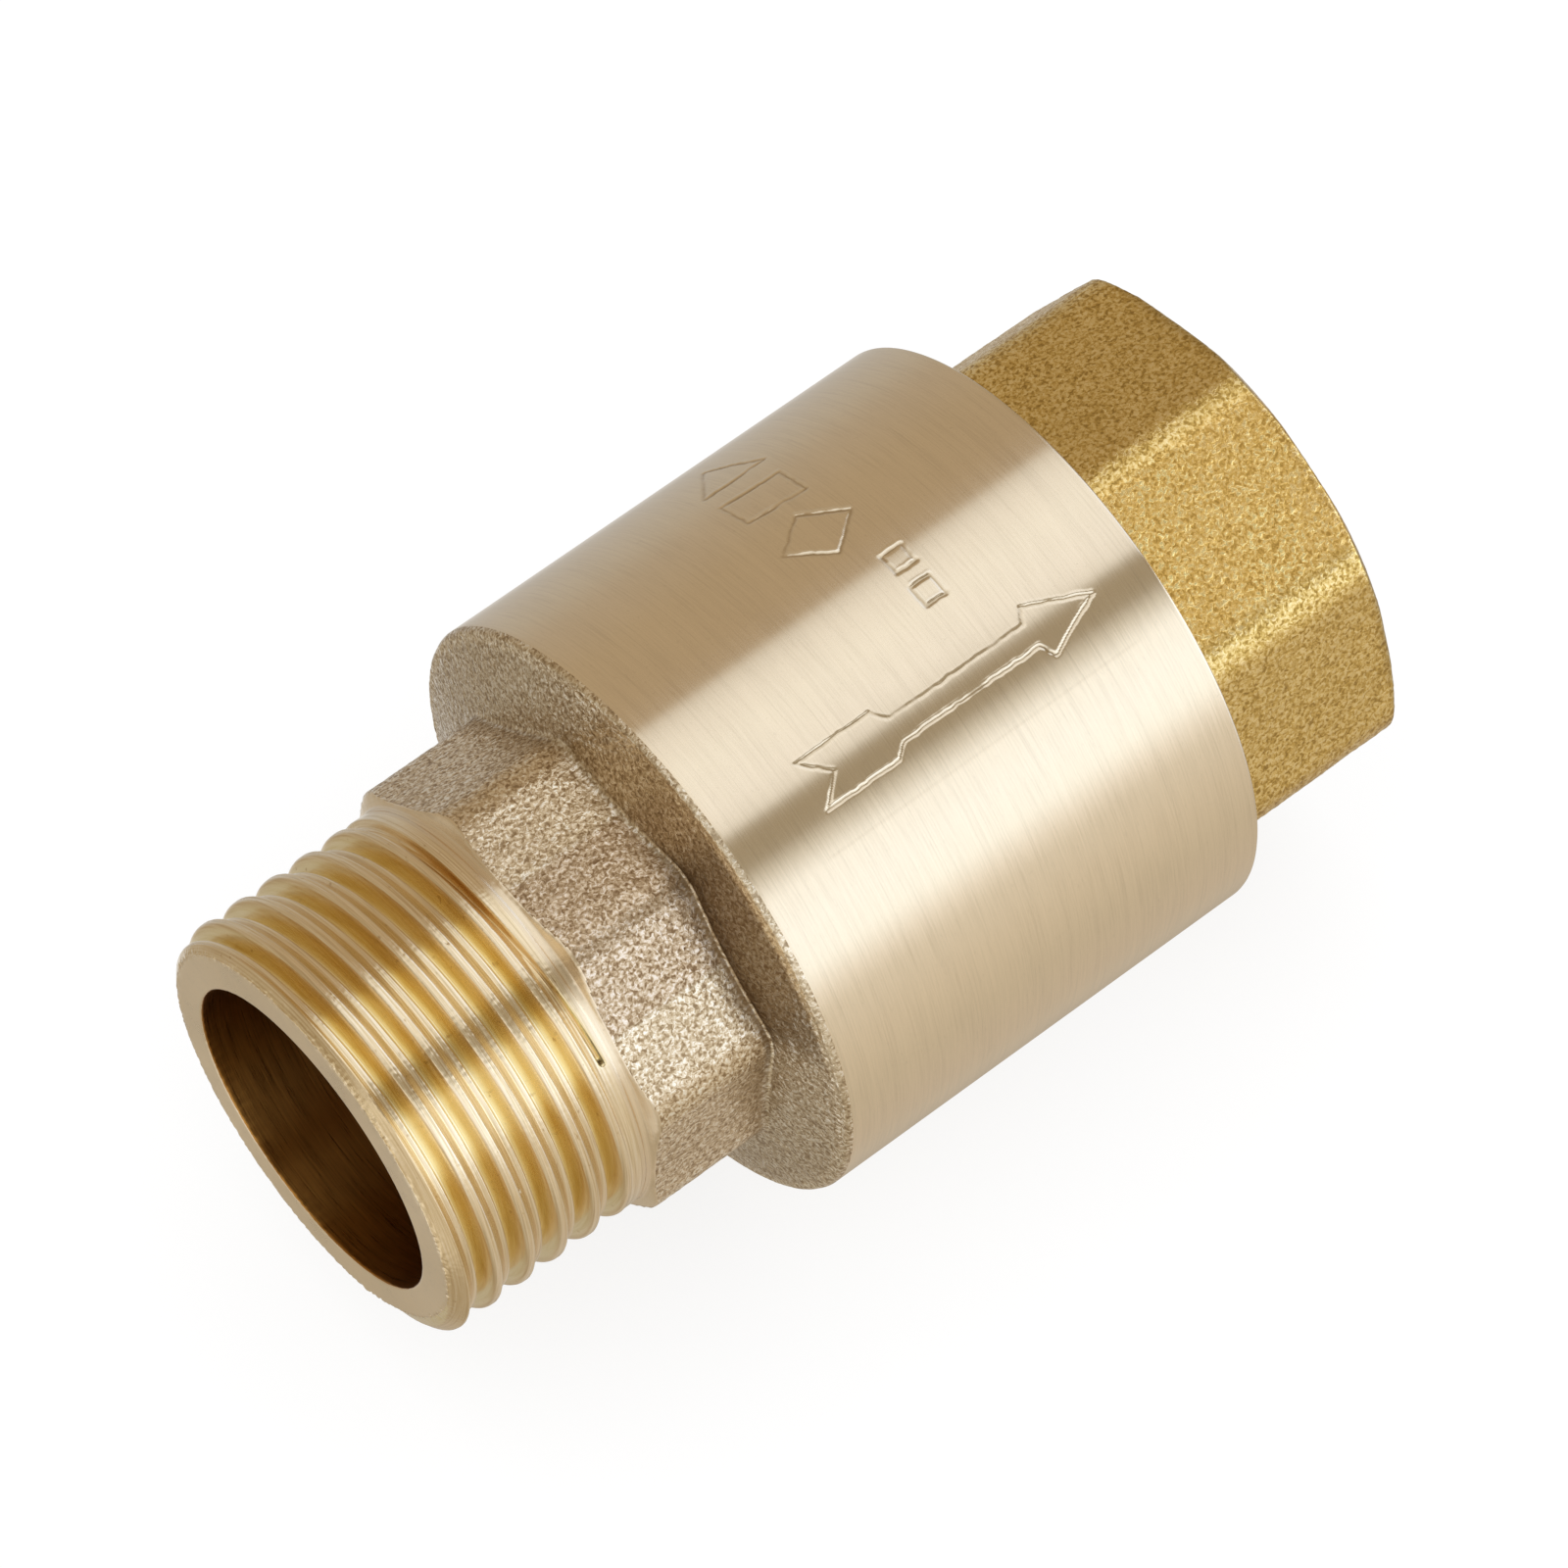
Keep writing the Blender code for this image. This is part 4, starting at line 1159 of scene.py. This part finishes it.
# ------------------------------------------------------------------- stage
def pale_floor():
    """Floor that glows a little; it isn't seen in reflections."""
    material = bpy.data.materials.new("Pale floor")
    material.use_nodes = True
    material.node_tree.nodes.clear()
    graph = Graph(material.node_tree)
    diffuse = graph.node("BsdfDiffuse", {"Color": (0.22, 0.22, 0.22)})
    glow = graph.node("Emission", {"Color": (0.79, 0.79, 0.79)})
    both = graph.node("AddShader", {0: diffuse.outputs[0], 1: glow.outputs[0]})
    graph.node("OutputMaterial", {"Surface": both.outputs[0]})

    mesh = bpy.data.meshes.new("floor")
    grid = bmesh.new()
    bmesh.ops.create_grid(grid, x_segments=1, y_segments=1, size=3.0)
    grid.to_mesh(mesh)
    grid.free()
    mesh.materials.append(material)
    floor = add_object("floor", mesh)
    floor.location = (0, 0, -SHELL_R * MM - 0.0001)
    floor.visible_glossy = False


# light of the tent as (theta, red, green, blue)
# seen square on to the axis
LIGHT_ACROSS = [
    (-180, 0.56, 0.50, 0.42), (-164, 0.48, 0.42, 0.34), (-158, 0.50, 0.45, 0.39),
    (-152, 0.82, 0.81, 0.80), (-146, 0.84, 0.84, 0.84), (-140, 0.64, 0.63, 0.62),
    (-134, 0.54, 0.52, 0.50), (-115, 0.52, 0.49, 0.46), (-100, 0.51, 0.47, 0.42),
    (-85, 0.48, 0.41, 0.33), (-60, 0.47, 0.38, 0.27), (-26.5, 0.475, 0.38, 0.27),
    (-24.2, 0.80, 0.78, 0.75), (-16, 0.96, 0.95, 0.94), (-4, 1.04, 1.05, 1.05),
    (12, 1.02, 1.02, 1.03), (20.5, 0.92, 0.91, 0.90), (23.8, 0.44, 0.39, 0.31),
    (27, 0.39, 0.335, 0.25), (35, 0.40, 0.35, 0.27), (41, 0.72, 0.70, 0.66),
    (49, 1.12, 1.17, 1.25), (62, 1.19, 1.27, 1.40), (76, 1.20, 1.28, 1.38),
    (86, 0.96, 0.93, 0.90), (93, 0.79, 0.74, 0.66), (112, 0.72, 0.655, 0.56),
    (135, 0.62, 0.56, 0.47), (160, 0.60, 0.53, 0.45), (180, 0.58, 0.52, 0.44)]
# towards the outlet end, as a thread's valley throws it after two bounces
LIGHT_AHEAD = [
    (-180, 0.45, 0.40, 0.33), (-100, 0.45, 0.40, 0.33), (-60, 0.37, 0.28, 0.15),
    (-46, 0.38, 0.29, 0.15), (-40, 1.08, 1.22, 1.50), (-20, 1.22, 1.40, 1.80),
    (12, 1.22, 1.40, 1.80), (22, 1.08, 1.22, 1.50), (25, 0.32, 0.23, 0.12),
    (37, 0.32, 0.24, 0.13), (50, 1.80, 2.05, 2.40), (92, 1.75, 2.00, 2.40),
    (108, 1.26, 1.44, 1.75), (132, 0.86, 0.94, 1.18), (155, 0.60, 0.58, 0.55),
    (180, 0.45, 0.40, 0.33)]
# towards the inlet end: table light, with the same dark gap at its middle
LIGHT_BEHIND = [
    (-180, 1.10, 1.10, 1.10), (-166, 1.00, 0.98, 0.95), (-161, 0.46, 0.41, 0.33),
    (-150, 0.44, 0.39, 0.31), (-145, 0.80, 0.77, 0.72), (-130, 0.86, 0.84, 0.80),
    (-115, 0.50, 0.45, 0.37), (-60, 0.45, 0.38, 0.28), (-25, 0.46, 0.39, 0.29),
    (-20, 0.85, 0.83, 0.80), (18, 0.85, 0.83, 0.80), (26, 0.42, 0.37, 0.29),
    (36, 0.42, 0.37, 0.29), (50, 1.05, 1.05, 1.06), (80, 1.05, 1.05, 1.06),
    (100, 0.72, 0.67, 0.60), (150, 0.66, 0.61, 0.53), (170, 0.95, 0.93, 0.90),
    (180, 1.10, 1.10, 1.10)]
# between square on and the inlet end
LIGHT_LOW = [
    (-180, 0.47, 0.41, 0.32), (-165, 0.50, 0.45, 0.37), (-145, 0.50, 0.45, 0.37),
    (-120, 0.47, 0.41, 0.33), (-60, 0.47, 0.385, 0.275), (-26, 0.475, 0.38, 0.27),
    (-22, 0.88, 0.87, 0.85), (16, 0.95, 0.94, 0.93), (24, 0.44, 0.39, 0.31),
    (35, 0.42, 0.37, 0.29), (48, 1.10, 1.13, 1.18), (78, 1.12, 1.15, 1.20),
    (95, 0.76, 0.70, 0.62), (140, 0.52, 0.46, 0.37), (180, 0.47, 0.41, 0.32)]


def studio_tent():
    """White tent with a big light overhead, one in front and a dark gap between;
    white to the camera and even for diffuse light."""
    world = bpy.data.worlds.new("Studio tent")
    bpy.context.scene.world = world
    world.use_nodes = True
    world.node_tree.nodes.clear()
    graph = Graph(world.node_tree)
    place = graph.node("TexCoord").outputs["Generated"]
    direction = graph.node("VectorMath", {0: place}, operation="NORMALIZE")
    axes = graph.node("SeparateXYZ", {0: direction.outputs[0]}).outputs
    angle = graph.math("ARCTAN2", graph.math("MULTIPLY", axes["Y"], -1.0), axes["Z"])
    turn = graph.math("ADD", graph.math("MULTIPLY", angle, 1.0 / (2 * math.pi)), 0.5)
    light, ahead, behind, low = (
        graph.ramp(turn, [((theta + 180.0) / 360.0, colour) for theta, *colour in table])
        for table in (LIGHT_ACROSS, LIGHT_AHEAD, LIGHT_BEHIND, LIGHT_LOW))

    def blend(value, source, a, b):
        return graph.mix(graph.remap(value, source, kind="SMOOTHSTEP"), a, b)

    light = blend(axes["X"], (0.55, 0.78), light, ahead)
    light = blend(graph.math("MULTIPLY", axes["X"], -1.0), (0.02, 0.22), light, low)
    light = blend(graph.math("MULTIPLY", axes["X"], -1.0), (0.55, 0.75), light, behind)
    studio, white, even = (
        graph.node("Background", {"Color": colour, "Strength": 1.0}).outputs[0]
        for colour in (light, (1.0, 1.0, 1.0), (1.25, 1.25, 1.25)))
    ray = graph.node("LightPath").outputs
    lit = graph.node("MixShader", {0: ray["Is Diffuse Ray"], 1: studio, 2: even})
    seen = graph.node("MixShader", {0: ray["Is Camera Ray"], 1: lit.outputs[0], 2: white})
    graph.node("OutputWorld", {"Surface": seen.outputs[0]})


def main_camera():
    """Long lens from above, on the inlet side and towards -Y."""
    data = bpy.data.cameras.new("camera")
    camera = add_object("camera", data)
    data.sensor_width = 36.0
    data.lens = 193.35
    data.clip_start = 0.01
    data.clip_end = 20.0
    azimuth, elevation = math.radians(-39.397), math.radians(58.487)
    place = Vector((-124.064, -151.922, 322.713)) * MM
    back = Vector((math.sin(azimuth) * math.cos(elevation),
                   -math.cos(azimuth) * math.cos(elevation), math.sin(elevation)))
    right = Vector((math.cos(azimuth), math.sin(azimuth), 0.0))
    turned = Matrix((right, back.cross(right), back)).transposed()
    camera.matrix_world = Matrix.Translation(place) @ turned.to_4x4()
    bpy.context.scene.camera = camera


pale_floor()
studio_tent()
main_camera()
bpy.context.scene.view_settings.view_transform = "Standard"
